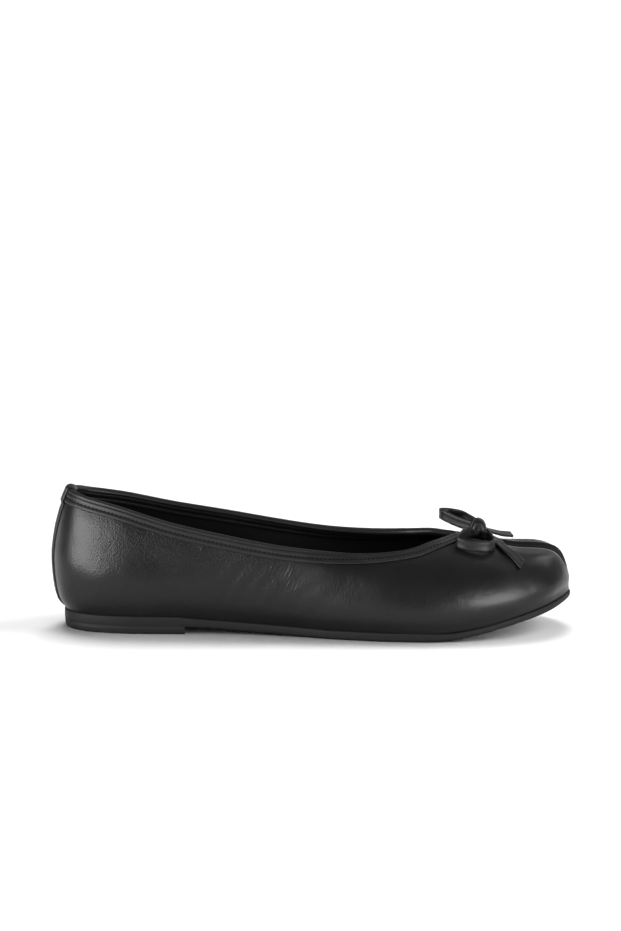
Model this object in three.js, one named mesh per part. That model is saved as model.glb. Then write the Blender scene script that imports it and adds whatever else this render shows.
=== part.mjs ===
// A black leather ballet flat for the right foot, with a flat strap tied in a small bow on the vamp.
//
// Millimetres. +X runs from heel to toe, +Y is the inner (medial) side, +Z is up, and the floor is z = 0.
// The upper is a surface of ribs. A rib starts on the sole's edge and ends on the topline, and the ring of
// ribs goes from the middle of the heel along the outer (lateral) side to the toe and back along the inner side.

import * as THREE from 'three';

// Driving dimensions of the sole
const soleLength = 245.5;
const soleWidth = 82;
const soleThickness = 4.4;
const soleEdgeRound = 1.2;
const toeSpring = 13.6;
const heelLift = 4;
const heelLength = 60;
const heelInset = 0.2;
const heelTaper = 0.8;
const heelBreastHollow = 1.5;

// Driving dimensions of the upper and the insole
const backHeight = 57.5;
const openingWidth = 60;
const wall = 1.7;
const swell = 5;
const counterOverhang = 5.2;
const featherInset = 1.6;
const cleftDepth = 3.4;
const cleftHalfWidth = 4.4;
const lipHeight = 0.5;
const insoleThickness = 2.3;
const insoleClearance = 0.5;

// Driving dimensions of the binding, the back strip and the bow
const bindingWidth = 6.2;
const bindingSkin = 0.65;
const stripWidth = 9.6;
const stripThickness = 0.8;
const stripInside = 12;
const strapWidth = 5.2;
const strapThickness = 1.3;
const bowSetback = 11;
const knotLength = 8.6;
const knotDepth = 5.4;
const knotHeight = 9.2;
const loopReach = 19;
const tailReach = 20;
const tailLean = 0.32;

// Pieces that meet keep this clearance
const gap = 0.3;

// How finely the ring of ribs and each rib are divided
const ribSteps = 12;
const sideSteps = 3;
const endSteps = 4;
const cleftSteps = 7;

// The sole's edge and the topline, one row for each rib from the heel to the toe. along is a share of the sole's
// length from its back edge, lateral and medial are shares of half its width. top columns place the topline: its
// widths are shares of half the opening, and rises are shares of the height at the back.
const ribRows = [
  { along: 0.000, lateral: 0.000, medial: 0.000, topAlong: 0.011, topLateral: 0.000, topMedial: 0.000, riseLateral: 1.000, riseMedial: 1.000 },
  { along: 0.012, lateral: 0.293, medial: 0.293, topAlong: 0.022, topLateral: 0.283, topMedial: 0.283, riseLateral: 0.990, riseMedial: 0.990 },
  { along: 0.051, lateral: 0.507, medial: 0.495, topAlong: 0.052, topLateral: 0.483, topMedial: 0.483, riseLateral: 0.956, riseMedial: 0.956 },
  { along: 0.122, lateral: 0.620, medial: 0.602, topAlong: 0.117, topLateral: 0.667, topMedial: 0.667, riseLateral: 0.893, riseMedial: 0.901 },
  { along: 0.220, lateral: 0.639, medial: 0.615, topAlong: 0.215, topLateral: 0.800, topMedial: 0.800, riseLateral: 0.774, riseMedial: 0.807 },
  { along: 0.326, lateral: 0.639, medial: 0.561, topAlong: 0.317, topLateral: 0.877, topMedial: 0.850, riseLateral: 0.716, riseMedial: 0.767 },
  { along: 0.432, lateral: 0.715, medial: 0.576, topAlong: 0.418, topLateral: 0.940, topMedial: 0.900, riseLateral: 0.664, riseMedial: 0.713 },
  { along: 0.538, lateral: 0.868, medial: 0.722, topAlong: 0.516, topLateral: 0.993, topMedial: 0.967, riseLateral: 0.636, riseMedial: 0.662 },
  { along: 0.640, lateral: 0.980, medial: 0.883, topAlong: 0.602, topLateral: 0.977, topMedial: 0.977, riseLateral: 0.618, riseMedial: 0.636 },
  { along: 0.737, lateral: 1.000, medial: 0.966, topAlong: 0.675, topLateral: 0.860, topMedial: 0.890, riseLateral: 0.638, riseMedial: 0.644 },
  { along: 0.827, lateral: 0.917, medial: 0.941, topAlong: 0.722, topLateral: 0.633, topMedial: 0.680, riseLateral: 0.639, riseMedial: 0.622 },
  { along: 0.906, lateral: 0.725, medial: 0.800, topAlong: 0.750, topLateral: 0.393, topMedial: 0.440, riseLateral: 0.578, riseMedial: 0.553 },
  { along: 0.967, lateral: 0.415, medial: 0.525, topAlong: 0.767, topLateral: 0.183, topMedial: 0.240, riseLateral: 0.518, riseMedial: 0.495 },
  { along: 1.000, lateral: -0.061, medial: 0.061, topAlong: 0.772, topLateral: -0.033, topMedial: 0.033, riseLateral: 0.462, riseMedial: 0.462 },
];

// How a rib bends between the sole and the topline, for some of the ribs. bulge columns are shares of the swell,
// in columns are shares of the way from the sole's edge to the topline in plan, and up columns are shares of the rise.
const ribForms = [
  { rib: 0, turnBulge: 0.46, turnUp: 0.07, bellyBulge: 1.04, bellyUp: 0.40, shoulderIn: 0.40, shoulderBulge: 1.03, shoulderUp: 0.62, crownIn: 0.75, crownBulge: 0.63, crownUp: 0.83, medialSwell: 1.0, medialLift: 1.0 },
  { rib: 3, turnBulge: 0.15, turnUp: 0.06, bellyBulge: 0.55, bellyUp: 0.36, shoulderIn: 0.35, shoulderBulge: 0.56, shoulderUp: 0.58, crownIn: 0.68, crownBulge: 0.40, crownUp: 0.80, medialSwell: 1.1, medialLift: 1.0 },
  { rib: 5, turnBulge: 0.10, turnUp: 0.07, bellyBulge: 0.50, bellyUp: 0.36, shoulderIn: 0.50, shoulderBulge: 0.50, shoulderUp: 0.62, crownIn: 0.80, crownBulge: 0.30, crownUp: 0.84, medialSwell: 1.9, medialLift: 1.0 },
  { rib: 7, turnBulge: 0.10, turnUp: 0.08, bellyBulge: 0.40, bellyUp: 0.32, shoulderIn: 0.30, shoulderBulge: 0.50, shoulderUp: 0.60, crownIn: 0.68, crownBulge: 0.45, crownUp: 0.84, medialSwell: 1.4, medialLift: 1.0 },
  { rib: 9, turnBulge: 0.08, turnUp: 0.09, bellyBulge: 0.35, bellyUp: 0.30, shoulderIn: 0.14, shoulderBulge: 0.30, shoulderUp: 0.60, crownIn: 0.50, crownBulge: 0.15, crownUp: 0.86, medialSwell: 1.0, medialLift: 1.0 },
  { rib: 11, turnBulge: 0.00, turnUp: 0.09, bellyBulge: 0.12, bellyUp: 0.30, shoulderIn: 0.13, shoulderBulge: 0.12, shoulderUp: 0.64, crownIn: 0.48, crownBulge: 0.00, crownUp: 0.82, medialSwell: 1.0, medialLift: 1.085 },
  { rib: 12, turnBulge: -0.08, turnUp: 0.09, bellyBulge: 0.25, bellyUp: 0.28, shoulderIn: 0.13, shoulderBulge: 0.23, shoulderUp: 0.69, crownIn: 0.42, crownBulge: 0.00, crownUp: 0.79, medialSwell: 2.0, medialLift: 1.10 },
  { rib: 13, turnBulge: -0.18, turnUp: 0.09, bellyBulge: -0.12, bellyUp: 0.26, shoulderIn: 0.132, shoulderBulge: 0.107, shoulderUp: 0.713, crownIn: 0.51, crownBulge: -0.107, crownUp: 0.83, medialSwell: 1.0, medialLift: 1.0 },
];

// The underside of the sole along its length: flat over the heel, down through the waist to the ball, which is
// flat on the floor, and up to the toe. heel is a share of the heel's height, spring a share of the toe spring, and
// thick a share of the sole's thickness.
const soleProfile = [
  { along: 0.00, heel: 1.00, spring: 0.00, thick: 1.00 },
  { along: 0.22, heel: 1.00, spring: 0.00, thick: 1.00 },
  { along: 0.27, heel: 0.76, spring: 0.00, thick: 1.00 },
  { along: 0.33, heel: 0.52, spring: 0.00, thick: 1.00 },
  { along: 0.41, heel: 0.27, spring: 0.00, thick: 1.00 },
  { along: 0.48, heel: 0.10, spring: 0.00, thick: 1.00 },
  { along: 0.54, heel: 0.00, spring: 0.00, thick: 1.00 },
  { along: 0.70, heel: 0.00, spring: 0.00, thick: 1.00 },
  { along: 0.76, heel: 0.00, spring: 0.05, thick: 0.84 },
  { along: 0.80, heel: 0.00, spring: 0.17, thick: 0.77 },
  { along: 0.84, heel: 0.00, spring: 0.32, thick: 0.75 },
  { along: 0.88, heel: 0.00, spring: 0.49, thick: 0.75 },
  { along: 0.92, heel: 0.00, spring: 0.655, thick: 0.77 },
  { along: 0.96, heel: 0.00, spring: 0.845, thick: 0.76 },
  { along: 1.00, heel: 0.00, spring: 1.07, thick: 0.66 },
];

// The bow's pieces as paths from the knot's foot, in shares of the loop's reach or the tail's reach. up is the height
// of the strap's lower edge. Where the vamp is higher than that, the strap lies on the vamp.
const lateralLoop = [
  { forward: -0.13, inner: -0.21, up: 0.05 },
  { forward: -0.30, inner: -0.52, up: -0.01 },
  { forward: -0.47, inner: -0.85, up: -0.06 },
  { forward: -0.55, inner: -1.08, up: -0.12 },
  { forward: -0.38, inner: -1.20, up: -0.13 },
  { forward: -0.03, inner: -1.22, up: -0.15 },
  { forward: 0.24, inner: -1.13, up: -0.17 },
  { forward: 0.38, inner: -0.92, up: -0.15 },
  { forward: 0.34, inner: -0.60, up: -0.10 },
  { forward: 0.26, inner: -0.34, up: -0.02 },
  { forward: 0.13, inner: -0.21, up: 0.02 },
];

const medialLoop = [
  { forward: -0.16, inner: 0.19, up: 0.10 },
  { forward: -0.48, inner: 0.37, up: 0.17 },
  { forward: -0.71, inner: 0.53, up: 0.24 },
  { forward: -0.90, inner: 0.68, up: 0.31 },
  { forward: -0.95, inner: 0.84, up: 0.32 },
  { forward: -0.81, inner: 0.97, up: 0.30 },
  { forward: -0.60, inner: 0.97, up: 0.28 },
  { forward: -0.39, inner: 0.80, up: 0.26 },
  { forward: -0.22, inner: 0.52, up: 0.22 },
  { forward: -0.02, inner: 0.21, up: 0.16 },
];

const lateralTail = [
  { forward: 0.33, inner: -0.03, up: -0.05 },
  { forward: 0.45, inner: -0.24, up: -0.10 },
  { forward: 0.53, inner: -0.53, up: -0.20 },
  { forward: 0.67, inner: -0.83, up: -0.30 },
  { forward: 0.84, inner: -1.09, up: -0.45 },
  { forward: 1.04, inner: -1.33, up: -0.68 },
];

const medialTail = [
  { forward: 0.21, inner: 0.13, up: 0.08 },
  { forward: 0.40, inner: 0.28, up: 0.00 },
  { forward: 0.60, inner: 0.42, up: -0.07 },
  { forward: 0.83, inner: 0.59, up: -0.12 },
];

// A smooth curve through one column of a table, which never overshoots its rows
function readTable(rows, place, column, at) {
  const last = rows.length - 1;
  if (at <= rows[0][place]) return rows[0][column];
  if (at >= rows[last][place]) return rows[last][column];
  const k = rows.findIndex((row) => row[place] > at) - 1;
  const slope = (i) => (rows[i + 1][column] - rows[i][column]) / (rows[i + 1][place] - rows[i][place]);
  const lean = (i) => {
    if (i === 0) return slope(0);
    if (i === last) return slope(last - 1);
    const before = slope(i - 1);
    const after = slope(i);
    return before * after <= 0 ? 0 : (2 * before * after) / (before + after);
  };
  const span = rows[k + 1][place] - rows[k][place];
  const t = (at - rows[k][place]) / span;
  const a = rows[k][column];
  const b = rows[k + 1][column];
  const stay = (1 + 2 * t) * (1 - t) ** 2;
  const go = t * t * (3 - 2 * t);
  return a * stay + b * go + span * (lean(k) * t * (1 - t) ** 2 - lean(k + 1) * t * t * (1 - t));
}

const smooth = THREE.MathUtils.smoothstep;
const toeRib = ribRows.length - 1;
const ringRibs = 2 * toeRib;
const soleBack = counterOverhang + gap + stripThickness;

function soleBottom(x) {
  const at = (x - soleBack) / soleLength;
  const heel = readTable(soleProfile, 'along', 'heel', at) * (heelLift + gap);
  return heel + readTable(soleProfile, 'along', 'spring', at) * toeSpring;
}

function soleTop(x) {
  return soleBottom(x) + soleThickness * readTable(soleProfile, 'along', 'thick', (x - soleBack) / soleLength);
}

// The sole's edge in plan at a rib of the ring: row numbers past the toe come back along the medial side
function soleEdgeAt(rib) {
  const k = (rib + ringRibs) % ringRibs;
  const row = ribRows[k <= toeRib ? k : ringRibs - k];
  const side = k <= toeRib ? -row.lateral : row.medial;
  return new THREE.Vector3(soleBack + row.along * soleLength, side * soleWidth / 2, 0);
}

// The six points that a rib runs through, from the sole to the topline
function ribPoints(k) {
  const lateral = k <= toeRib;
  const rib = lateral ? k : ringRibs - k;
  const row = ribRows[rib];
  const edge = soleEdgeAt(k);
  const foot = soleTop(edge.x) + gap;
  const topSide = lateral ? -row.topLateral : row.topMedial;
  const rise = (lateral ? row.riseLateral : row.riseMedial) * backHeight;
  const top = new THREE.Vector3(soleBack + row.topAlong * soleLength, topSide * openingWidth / 2, foot + rise);
  const tangent = soleEdgeAt(k + 1).sub(soleEdgeAt(k - 1)).normalize();
  const out = new THREE.Vector3(tangent.y, -tangent.x, 0);
  const plan = new THREE.Vector3(edge.x - top.x, edge.y - top.y, 0);
  const away = plan.clone().addScaledVector(out, openingWidth / 3).normalize();
  const form = (column) => readTable(ribForms, 'rib', column, rib);
  const reach = swell * (lateral ? 1 : form('medialSwell'));
  const lift = lateral ? 1 : form('medialLift');
  const point = (inward, bulge, up) => edge.clone().addScaledVector(plan, -inward)
    .addScaledVector(away, bulge * reach).setZ(foot + up * rise);
  const footPoint = edge.clone().addScaledVector(out, -featherInset).setZ(foot);
  return [
    footPoint,
    point(0, form('turnBulge'), form('turnUp')),
    point(0, form('bellyBulge'), form('bellyUp')),
    point(form('shoulderIn'), form('shoulderBulge'), form('shoulderUp') * lift),
    point(form('crownIn'), form('crownBulge'), form('crownUp') * (1 + lift) / 2),
    top,
  ];
}

// Smooth closed curves round the shoe through the matching points of all the ribs
const allRibs = Array.from({ length: ringRibs }, (_, k) => ribPoints(k));
const ringCurves = allRibs[0].map((_, level) =>
  new THREE.CatmullRomCurve3(allRibs.map((rib) => rib[level]), true, 'catmullrom', 0.5));
const edgeCurve = new THREE.CatmullRomCurve3(
  Array.from({ length: ringRibs }, (_, k) => soleEdgeAt(k)), true, 'catmullrom', 0.5);

const ringShare = (u) => ((u / ringRibs) % 1 + 1) % 1;

function ribCurve(u) {
  const points = ringCurves.map((curve) => curve.getPoint(ringShare(u)));
  const rib = new THREE.CatmullRomCurve3(points, false, 'centripetal');
  rib.arcLengthDivisions = 60;
  return rib;
}

const ribMemory = new Map();

function rib(u) {
  const key = u.toFixed(6);
  if (!ribMemory.has(key)) ribMemory.set(key, ribCurve(u));
  return ribMemory.get(key);
}

const formPoint = (u, s) => rib(u).getPointAt(THREE.MathUtils.clamp(s, 0, 1));

// The outward direction of the form at a rib u and a share s of the rib's length
function formNormal(u, s) {
  const low = Math.min(Math.max(s, 0.012), 0.988);
  const across = formPoint(u + 0.04, low).sub(formPoint(u - 0.04, low));
  const along = formPoint(u, low + 0.012).sub(formPoint(u, low - 0.012));
  return across.cross(along).normalize();
}

// The cleft down the middle of the toe, with a low lip on each side
function cleftOffset(u, s) {
  if (Math.abs(u - toeRib) > 1.5) return 0;
  const aside = formPoint(u, s).distanceTo(formPoint(toeRib, s)) / cleftHalfWidth;
  const valley = cleftDepth * (1 - smooth(aside, 0, 0.9));
  const lip = lipHeight * smooth(aside, 0.45, 0.9) * (1 - smooth(aside, 0.9, 1.7));
  const present = smooth(s, 0.10, 0.28) * (1 - smooth(s, 0.82, 0.92));
  return present * (lip - valley);
}

// A point on the upper's outer face, moved out by some offset
function skin(u, s, offset = 0) {
  return formPoint(u, s).addScaledVector(formNormal(u, s), cleftOffset(u, s) + offset);
}

// Which ribs of the ring are drawn: close together round the heel and the throat, closest at the cleft
function ringStations() {
  const stations = [];
  for (let k = 0; k < ringRibs; k += 1) {
    const row = Math.min(k, ringRibs - 1 - k);
    const steps = row === toeRib - 1 ? cleftSteps : row < 3 || row > 8 ? endSteps : sideSteps;
    for (let i = 0; i < steps; i += 1) stations.push(k + i / steps);
  }
  return stations;
}

const stations = ringStations();
const ribShares = Array.from({ length: ribSteps + 1 }, (_, i) => i / ribSteps);

function material(name, color, roughness, metalness = 0) {
  return new THREE.MeshStandardMaterial({ name, color, roughness, metalness });
}

const leather = material('black_leather', 0x171717, 0.42);
const trimLeather = material('black_trim_leather', 0x1b1b1b, 0.5);
const soleRubber = material('sole_rubber', 0x2a2a2a, 0.75);
const lining = material('black_lining', 0x111111, 0.8);

// A named mesh from points and triangles, turned so that its faces point out
function solid(name, points, triangles, surface) {
  let volume = 0;
  for (const [a, b, c] of triangles) volume += points[a].dot(points[b].clone().cross(points[c]));
  const order = volume < 0 ? triangles.map(([a, b, c]) => [a, c, b]) : triangles;
  const geometry = new THREE.BufferGeometry();
  geometry.setAttribute('position', new THREE.Float32BufferAttribute(points.flatMap((p) => p.toArray()), 3));
  geometry.setIndex(order.flat());
  geometry.computeVertexNormals();
  const mesh = new THREE.Mesh(geometry, surface);
  mesh.name = name;
  return mesh;
}

// Four-sided faces between neighbouring sections, each a closed loop of points
function sides(sectionCount, size, closed) {
  const triangles = [];
  const spans = closed ? sectionCount : sectionCount - 1;
  for (let i = 0; i < spans; i += 1) {
    for (let j = 0; j < size; j += 1) {
      const a = i * size + j;
      const b = i * size + (j + 1) % size;
      const c = ((i + 1) % sectionCount) * size + (j + 1) % size;
      const d = ((i + 1) % sectionCount) * size + j;
      triangles.push([a, b, c], [a, c, d]);
    }
  }
  return triangles;
}

// A solid that goes all the way round the shoe, from one closed section at each station
function ringSolid(name, sections, surface) {
  return solid(name, sections.flat(), sides(sections.length, sections[0].length, true), surface);
}

// A solid between two flat ends, from closed sections along a path
function barSolid(name, sections, surface) {
  const size = sections[0].length;
  const triangles = sides(sections.length, size, false);
  const end = (sections.length - 1) * size;
  for (let j = 1; j < size - 1; j += 1) triangles.push([0, j + 1, j], [end, end + j, end + j + 1]);
  return solid(name, sections.flat(), triangles, surface);
}

// A stack of outlines from bottom to top, closed by faces laced across from side to side. Each outline starts at
// the back, and its point j faces its point n - j.
function stackSolid(name, outlines, surface) {
  const n = outlines[0].length;
  const triangles = sides(outlines.length, n, false);
  const top = (outlines.length - 1) * n;
  for (let j = 0; j < n / 2; j += 1) {
    const facing = (n - j) % n;
    const quad = [j, j + 1, n - j - 1, facing];
    const lace = j === 0 ? [[quad[0], quad[1], quad[2]]] : [[quad[0], quad[1], quad[2]], [quad[0], quad[2], quad[3]]];
    for (const [a, b, c] of lace.filter((t) => new Set(t).size === 3)) {
      triangles.push([a, c, b], [top + a, top + b, top + c]);
    }
  }
  return solid(name, outlines.flat(), triangles, surface);
}

// The sole's edge moved in by some inset, at a height that follows its place along the shoe
function edgePoint(u, inset, height) {
  const tangent = edgeCurve.getTangent(ringShare(u));
  const point = edgeCurve.getPoint(ringShare(u));
  point.add(new THREE.Vector3(-tangent.y, tangent.x, 0).normalize().multiplyScalar(inset));
  return point.setZ(height(point.x));
}

function outsole() {
  const layers = [
    { inset: soleEdgeRound, height: soleBottom },
    { inset: 0, height: (x) => soleBottom(x) + soleEdgeRound },
    { inset: 0, height: (x) => soleTop(x) - soleEdgeRound / 2 },
    { inset: soleEdgeRound / 2, height: soleTop },
  ];
  const outlines = layers.map(({ inset, height }) => stations.map((u) => edgePoint(u, inset, height)));
  return stackSolid('outsole', outlines, soleRubber);
}

// The ring place on one side where the sole's edge reaches the heel's breast
function breastPlace(side) {
  let near = 0;
  let far = toeRib;
  for (let i = 0; i < 40; i += 1) {
    const middle = (near + far) / 2;
    if (edgeCurve.getPoint(ringShare(side * middle)).x < soleBack + heelLength) near = middle;
    else far = middle;
  }
  return side * near;
}

function heel() {
  const curveSteps = 16;
  const breastSteps = 4;
  const ends = [breastPlace(1), breastPlace(-1)];
  const under = (x) => soleBottom(x) - gap;
  const layers = [
    { inset: heelInset + heelTaper + soleEdgeRound, height: () => 0 },
    { inset: heelInset + heelTaper, height: () => soleEdgeRound },
    { inset: heelInset, height: under },
  ];
  const outlines = layers.map(({ inset, height }) => {
    const arc = (end, i) => edgePoint(end * (i / curveSteps), inset, height);
    const lateral = Array.from({ length: curveSteps + 1 }, (_, i) => arc(ends[0], i));
    const medial = Array.from({ length: curveSteps }, (_, i) => arc(ends[1], i + 1));
    const from = lateral[curveSteps];
    const to = medial[curveSteps - 1];
    const breast = Array.from({ length: 2 * breastSteps - 1 }, (_, i) => {
      const share = (i + 1) / (2 * breastSteps);
      const point = from.clone().lerp(to, share);
      point.x -= heelBreastHollow * Math.sin(Math.PI * share);
      return point.setZ(height(point.x));
    });
    return [...lateral, ...breast, ...medial.reverse()];
  });
  return stackSolid('heel', outlines, soleRubber);
}

function upper() {
  const sections = stations.map((u) => [
    ...ribShares.map((s) => skin(u, s)),
    ...ribShares.slice().reverse().map((s) => skin(u, s, -wall)),
  ]);
  return ringSolid('upper', sections, leather);
}

// The upper's inner face at a rib, at some height over the sole, read from the drawn faces
function insideFace(u, height) {
  const over = (p) => p.z - soleTop(p.x) - height;
  let low = skin(u, 0, -wall);
  for (const s of ribShares.slice(1)) {
    const high = skin(u, s, -wall);
    if (over(high) >= 0) return low.lerp(high, Math.max(0, over(low) / (over(low) - over(high))));
    low = high;
  }
  return low;
}

function insole() {
  const layer = (height, seat) => stations.map((u) => {
    const point = insideFace(u, seat);
    const tangent = edgeCurve.getTangent(ringShare(u));
    point.add(new THREE.Vector3(-tangent.y, tangent.x, 0).normalize().multiplyScalar(insoleClearance));
    return point.setZ(soleTop(point.x) + height);
  });
  const top = gap + insoleThickness;
  return stackSolid('insole', [layer(gap, gap), layer(gap + wall, gap + wall), layer(top, top)], lining);
}

// The topline's upward direction at a rib, and the share of the rib where the binding starts
const topDirection = (u) => formPoint(u, 1).sub(formPoint(u, 0.97)).normalize();
const bindingStart = (u) => 1 - bindingWidth / rib(u).getLength();

function toplineBinding() {
  const near = gap;
  const far = gap + bindingSkin;
  const sections = stations.map((u) => {
    const start = bindingStart(u);
    const half = (1 + start) / 2;
    const up = topDirection(u);
    const lifted = (offset, lift) => skin(u, 1, offset).addScaledVector(up, lift);
    return [
      skin(u, start, far),
      skin(u, half, far),
      lifted(far, 0),
      lifted(-wall / 4, far),
      lifted(-wall * 3 / 4, far),
      lifted(-wall - far, 0),
      skin(u, half, -wall - far),
      skin(u, start, -wall - far),
      skin(u, start, -wall - near),
      lifted(-wall - near, near),
      lifted(near, near),
      skin(u, start, near),
    ];
  });
  return ringSolid('topline_binding', sections, trimLeather);
}

// The back strip covers the heel's seam from the sole, goes over the binding and ends inside. Each stop on its
// way has a share of the rib, an offset of its lower face, and a lift over the topline.
function backstrip() {
  const start = bindingStart(0);
  const length = rib(0).getLength();
  const over = 2 * gap + bindingSkin;
  const blend = 1.6 / length;
  const inside = -wall - over;
  const inEnd = 1 - stripInside / length;
  const stops = [
    ...[0.03, 0.10, 0.20, 0.32, 0.44, 0.56, 0.68, 0.80].map((s) => ({ s: s * start, under: gap, lift: 0 })),
    { s: start - 2 * blend, under: gap, lift: 0 },
    { s: start - blend, under: over, lift: 0 },
    { s: (1 + start) / 2, under: over, lift: 0 },
    { s: 1, under: over, lift: 0 },
    { s: 1, under: -wall / 4, lift: over, top: true },
    { s: 1, under: -wall * 3 / 4, lift: over, top: true },
    { s: 1, under: inside, lift: 0, inner: true },
    { s: (1 + start) / 2, under: inside, lift: 0, inner: true },
    { s: start - blend, under: inside, lift: 0, inner: true },
    { s: inEnd, under: inside, lift: 0, inner: true },
  ];
  const halfSpan = stripWidth / 2;
  const widths = [-1, -0.6, 0, 0.6, 1];
  const place = (stop, share) => {
    const reach = formPoint(1, stop.s).distanceTo(formPoint(0, stop.s));
    return share * halfSpan / reach;
  };
  const face = (stop, share, thick) => {
    const u = place(stop, share);
    const up = topDirection(0).multiplyScalar(stop.lift + (stop.top ? thick : 0));
    const offset = stop.top ? stop.under : stop.under + (stop.inner ? -thick : thick);
    return skin(u, stop.s, offset).add(up);
  };
  const sections = stops.map((stop) => [
    ...widths.map((share) => face(stop, share, stripThickness)),
    ...widths.slice().reverse().map((share) => face(stop, share, 0)),
  ]);
  return barSolid('backstrip', sections, trimLeather);
}

// The height of the upper, or of the binding that lies on it, over a place in plan near the throat
function vampHeight(x, y) {
  const stepU = 0.02;
  const stepS = 0.005;
  const topmost = 0.995;
  let u = toeRib;
  let s = 0.7;
  for (let i = 0; i < 30; i += 1) {
    const at = formPoint(u, s);
    const alongRing = formPoint(u + stepU, s).sub(at).divideScalar(stepU);
    const alongRib = at.clone().sub(formPoint(u, s - stepS)).divideScalar(stepS);
    const det = alongRing.x * alongRib.y - alongRing.y * alongRib.x;
    const awayX = x - at.x;
    const awayY = y - at.y;
    const moveU = (awayX * alongRib.y - awayY * alongRib.x) / det;
    const moveS = (alongRing.x * awayY - alongRing.y * awayX) / det;
    u = THREE.MathUtils.clamp(u + THREE.MathUtils.clamp(moveU, -0.5, 0.5), toeRib - 4, toeRib + 4);
    s = THREE.MathUtils.clamp(s + THREE.MathUtils.clamp(moveS, -0.1, 0.1), 0.1, topmost);
  }
  const cover = s > bindingStart(u) - 1.5 * strapThickness / rib(u).getLength() ? gap + bindingSkin : 0;
  const lip = Math.abs(y) < 2 * cleftHalfWidth ? lipHeight : 0;
  return formPoint(u, s).z + lip + cover;
}

// The knot sits on the vamp just in front of the binding at the throat
const throat = formPoint(toeRib, 1);
const knot = new THREE.Vector3(throat.x + bowSetback, throat.y, 0);
knot.z = vampHeight(knot.x, knot.y) + gap;

// A strap's middle line from a table, for a strap whose middle is some height over its lower edge
function bowPath(rows, reach, halfHeight) {
  return rows.map(({ forward, inner, up }) => {
    const x = knot.x + forward * reach;
    const y = knot.y + inner * reach;
    const foot = Math.max(knot.z + up * reach, vampHeight(x, y) + gap);
    return new THREE.Vector3(x, y, foot + halfHeight);
  });
}

// The direction of a strap's width on its way: on edge, leaning a little, or along the vamp that it lies on
const upright = new THREE.Vector3(0, 0, 1);
const onEdge = (tangent) => upright.clone().addScaledVector(tangent, -tangent.z).normalize();
const level = (tangent) => tangent.clone().cross(upright).normalize();
const leaning = (tangent) => level(tangent).addScaledVector(upright, -tailLean).normalize();

function alongVamp(tangent, centre) {
  const across = level(tangent).multiplyScalar(strapWidth / 2);
  const left = vampHeight(centre.x + across.x, centre.y + across.y);
  const right = vampHeight(centre.x - across.x, centre.y - across.y);
  return across.setZ((left - right) / 2).normalize();
}

// A flat strap along a path
function strap(name, points, widthAt, steps) {
  const path = new THREE.CatmullRomCurve3(points, false, 'centripetal');
  const half = strapWidth / 2;
  const thin = strapThickness / 2;
  const soft = strapThickness / 4;
  const sections = Array.from({ length: steps + 1 }, (_, i) => {
    const centre = path.getPointAt(i / steps);
    const tangent = path.getTangentAt(i / steps);
    const across = widthAt(tangent, centre);
    const normal = tangent.clone().cross(across).normalize();
    const corner = (w, t) => centre.clone().addScaledVector(across, w).addScaledVector(normal, t);
    return [
      corner(-half, soft - thin), corner(soft - half, -thin), corner(half - soft, -thin), corner(half, soft - thin),
      corner(half, thin - soft), corner(half - soft, thin), corner(soft - half, thin), corner(-half, thin - soft),
    ];
  });
  return barSolid(name, sections, trimLeather);
}

function bowStraps() {
  const stand = strapWidth / 2;
  const lie = strapThickness / 2;
  return [
    strap('bow_loop_lateral', bowPath(lateralLoop, loopReach, stand), onEdge, 26),
    strap('bow_loop_medial', bowPath(medialLoop, loopReach, stand), onEdge, 24),
    strap('bow_tail_lateral', bowPath(lateralTail, tailReach, lie + gap), alongVamp, 10),
    strap('bow_tail_medial', bowPath(medialTail, tailReach, lie + (strapWidth / 2) * tailLean), leaning, 6),
  ];
}

// The knot is a round-topped lump whose underside follows the vamp
function bowKnot() {
  const depthSteps = 4;
  const archSteps = 10;
  const baseSteps = 4;
  const sections = Array.from({ length: depthSteps + 1 }, (_, i) => {
    const side = 2 * i / depthSteps - 1;
    const y = knot.y + side * knotDepth / 2;
    const full = 1 - 0.16 * side * side;
    const half = full * knotLength / 2;
    const base = (x) => vampHeight(x, y) + gap;
    const foot = base(knot.x);
    const arch = Array.from({ length: archSteps + 1 }, (_, j) => {
      const angle = Math.PI * j / archSteps;
      const x = knot.x + half * Math.cos(angle);
      const rise = full * knotHeight * Math.sin(angle) ** 0.6;
      return new THREE.Vector3(x, y, Math.max(base(x), foot) + rise);
    });
    const under = Array.from({ length: baseSteps - 1 }, (_, j) => {
      const x = knot.x - half + 2 * half * (j + 1) / baseSteps;
      return new THREE.Vector3(x, y, base(x));
    });
    return [...arch, ...under];
  });
  return barSolid('bow_knot', sections, trimLeather);
}

const parts = [
  outsole(),
  heel(),
  insole(),
  upper(),
  toplineBinding(),
  backstrip(),
  bowKnot(),
  ...bowStraps(),
];

const shoe = new THREE.Group();
shoe.add(...parts);
const middle = new THREE.Box3().setFromObject(shoe).getCenter(new THREE.Vector3());
shoe.position.set(-middle.x, -middle.y, 0);

export default shoe;
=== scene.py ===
# %% [markdown]
# # A black leather ballet flat with a strap bow
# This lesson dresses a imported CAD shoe. The CAD gives each piece its size and place. Here every piece gets the
# finish of the real one: grained leather, a folded and stitched binding, a rolled seam down the toe, a moulded
# rubber sole and a bow tied from a flat strap. All lengths are in millimetres until a mesh is made.

# %% Tools and units
import math

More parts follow.
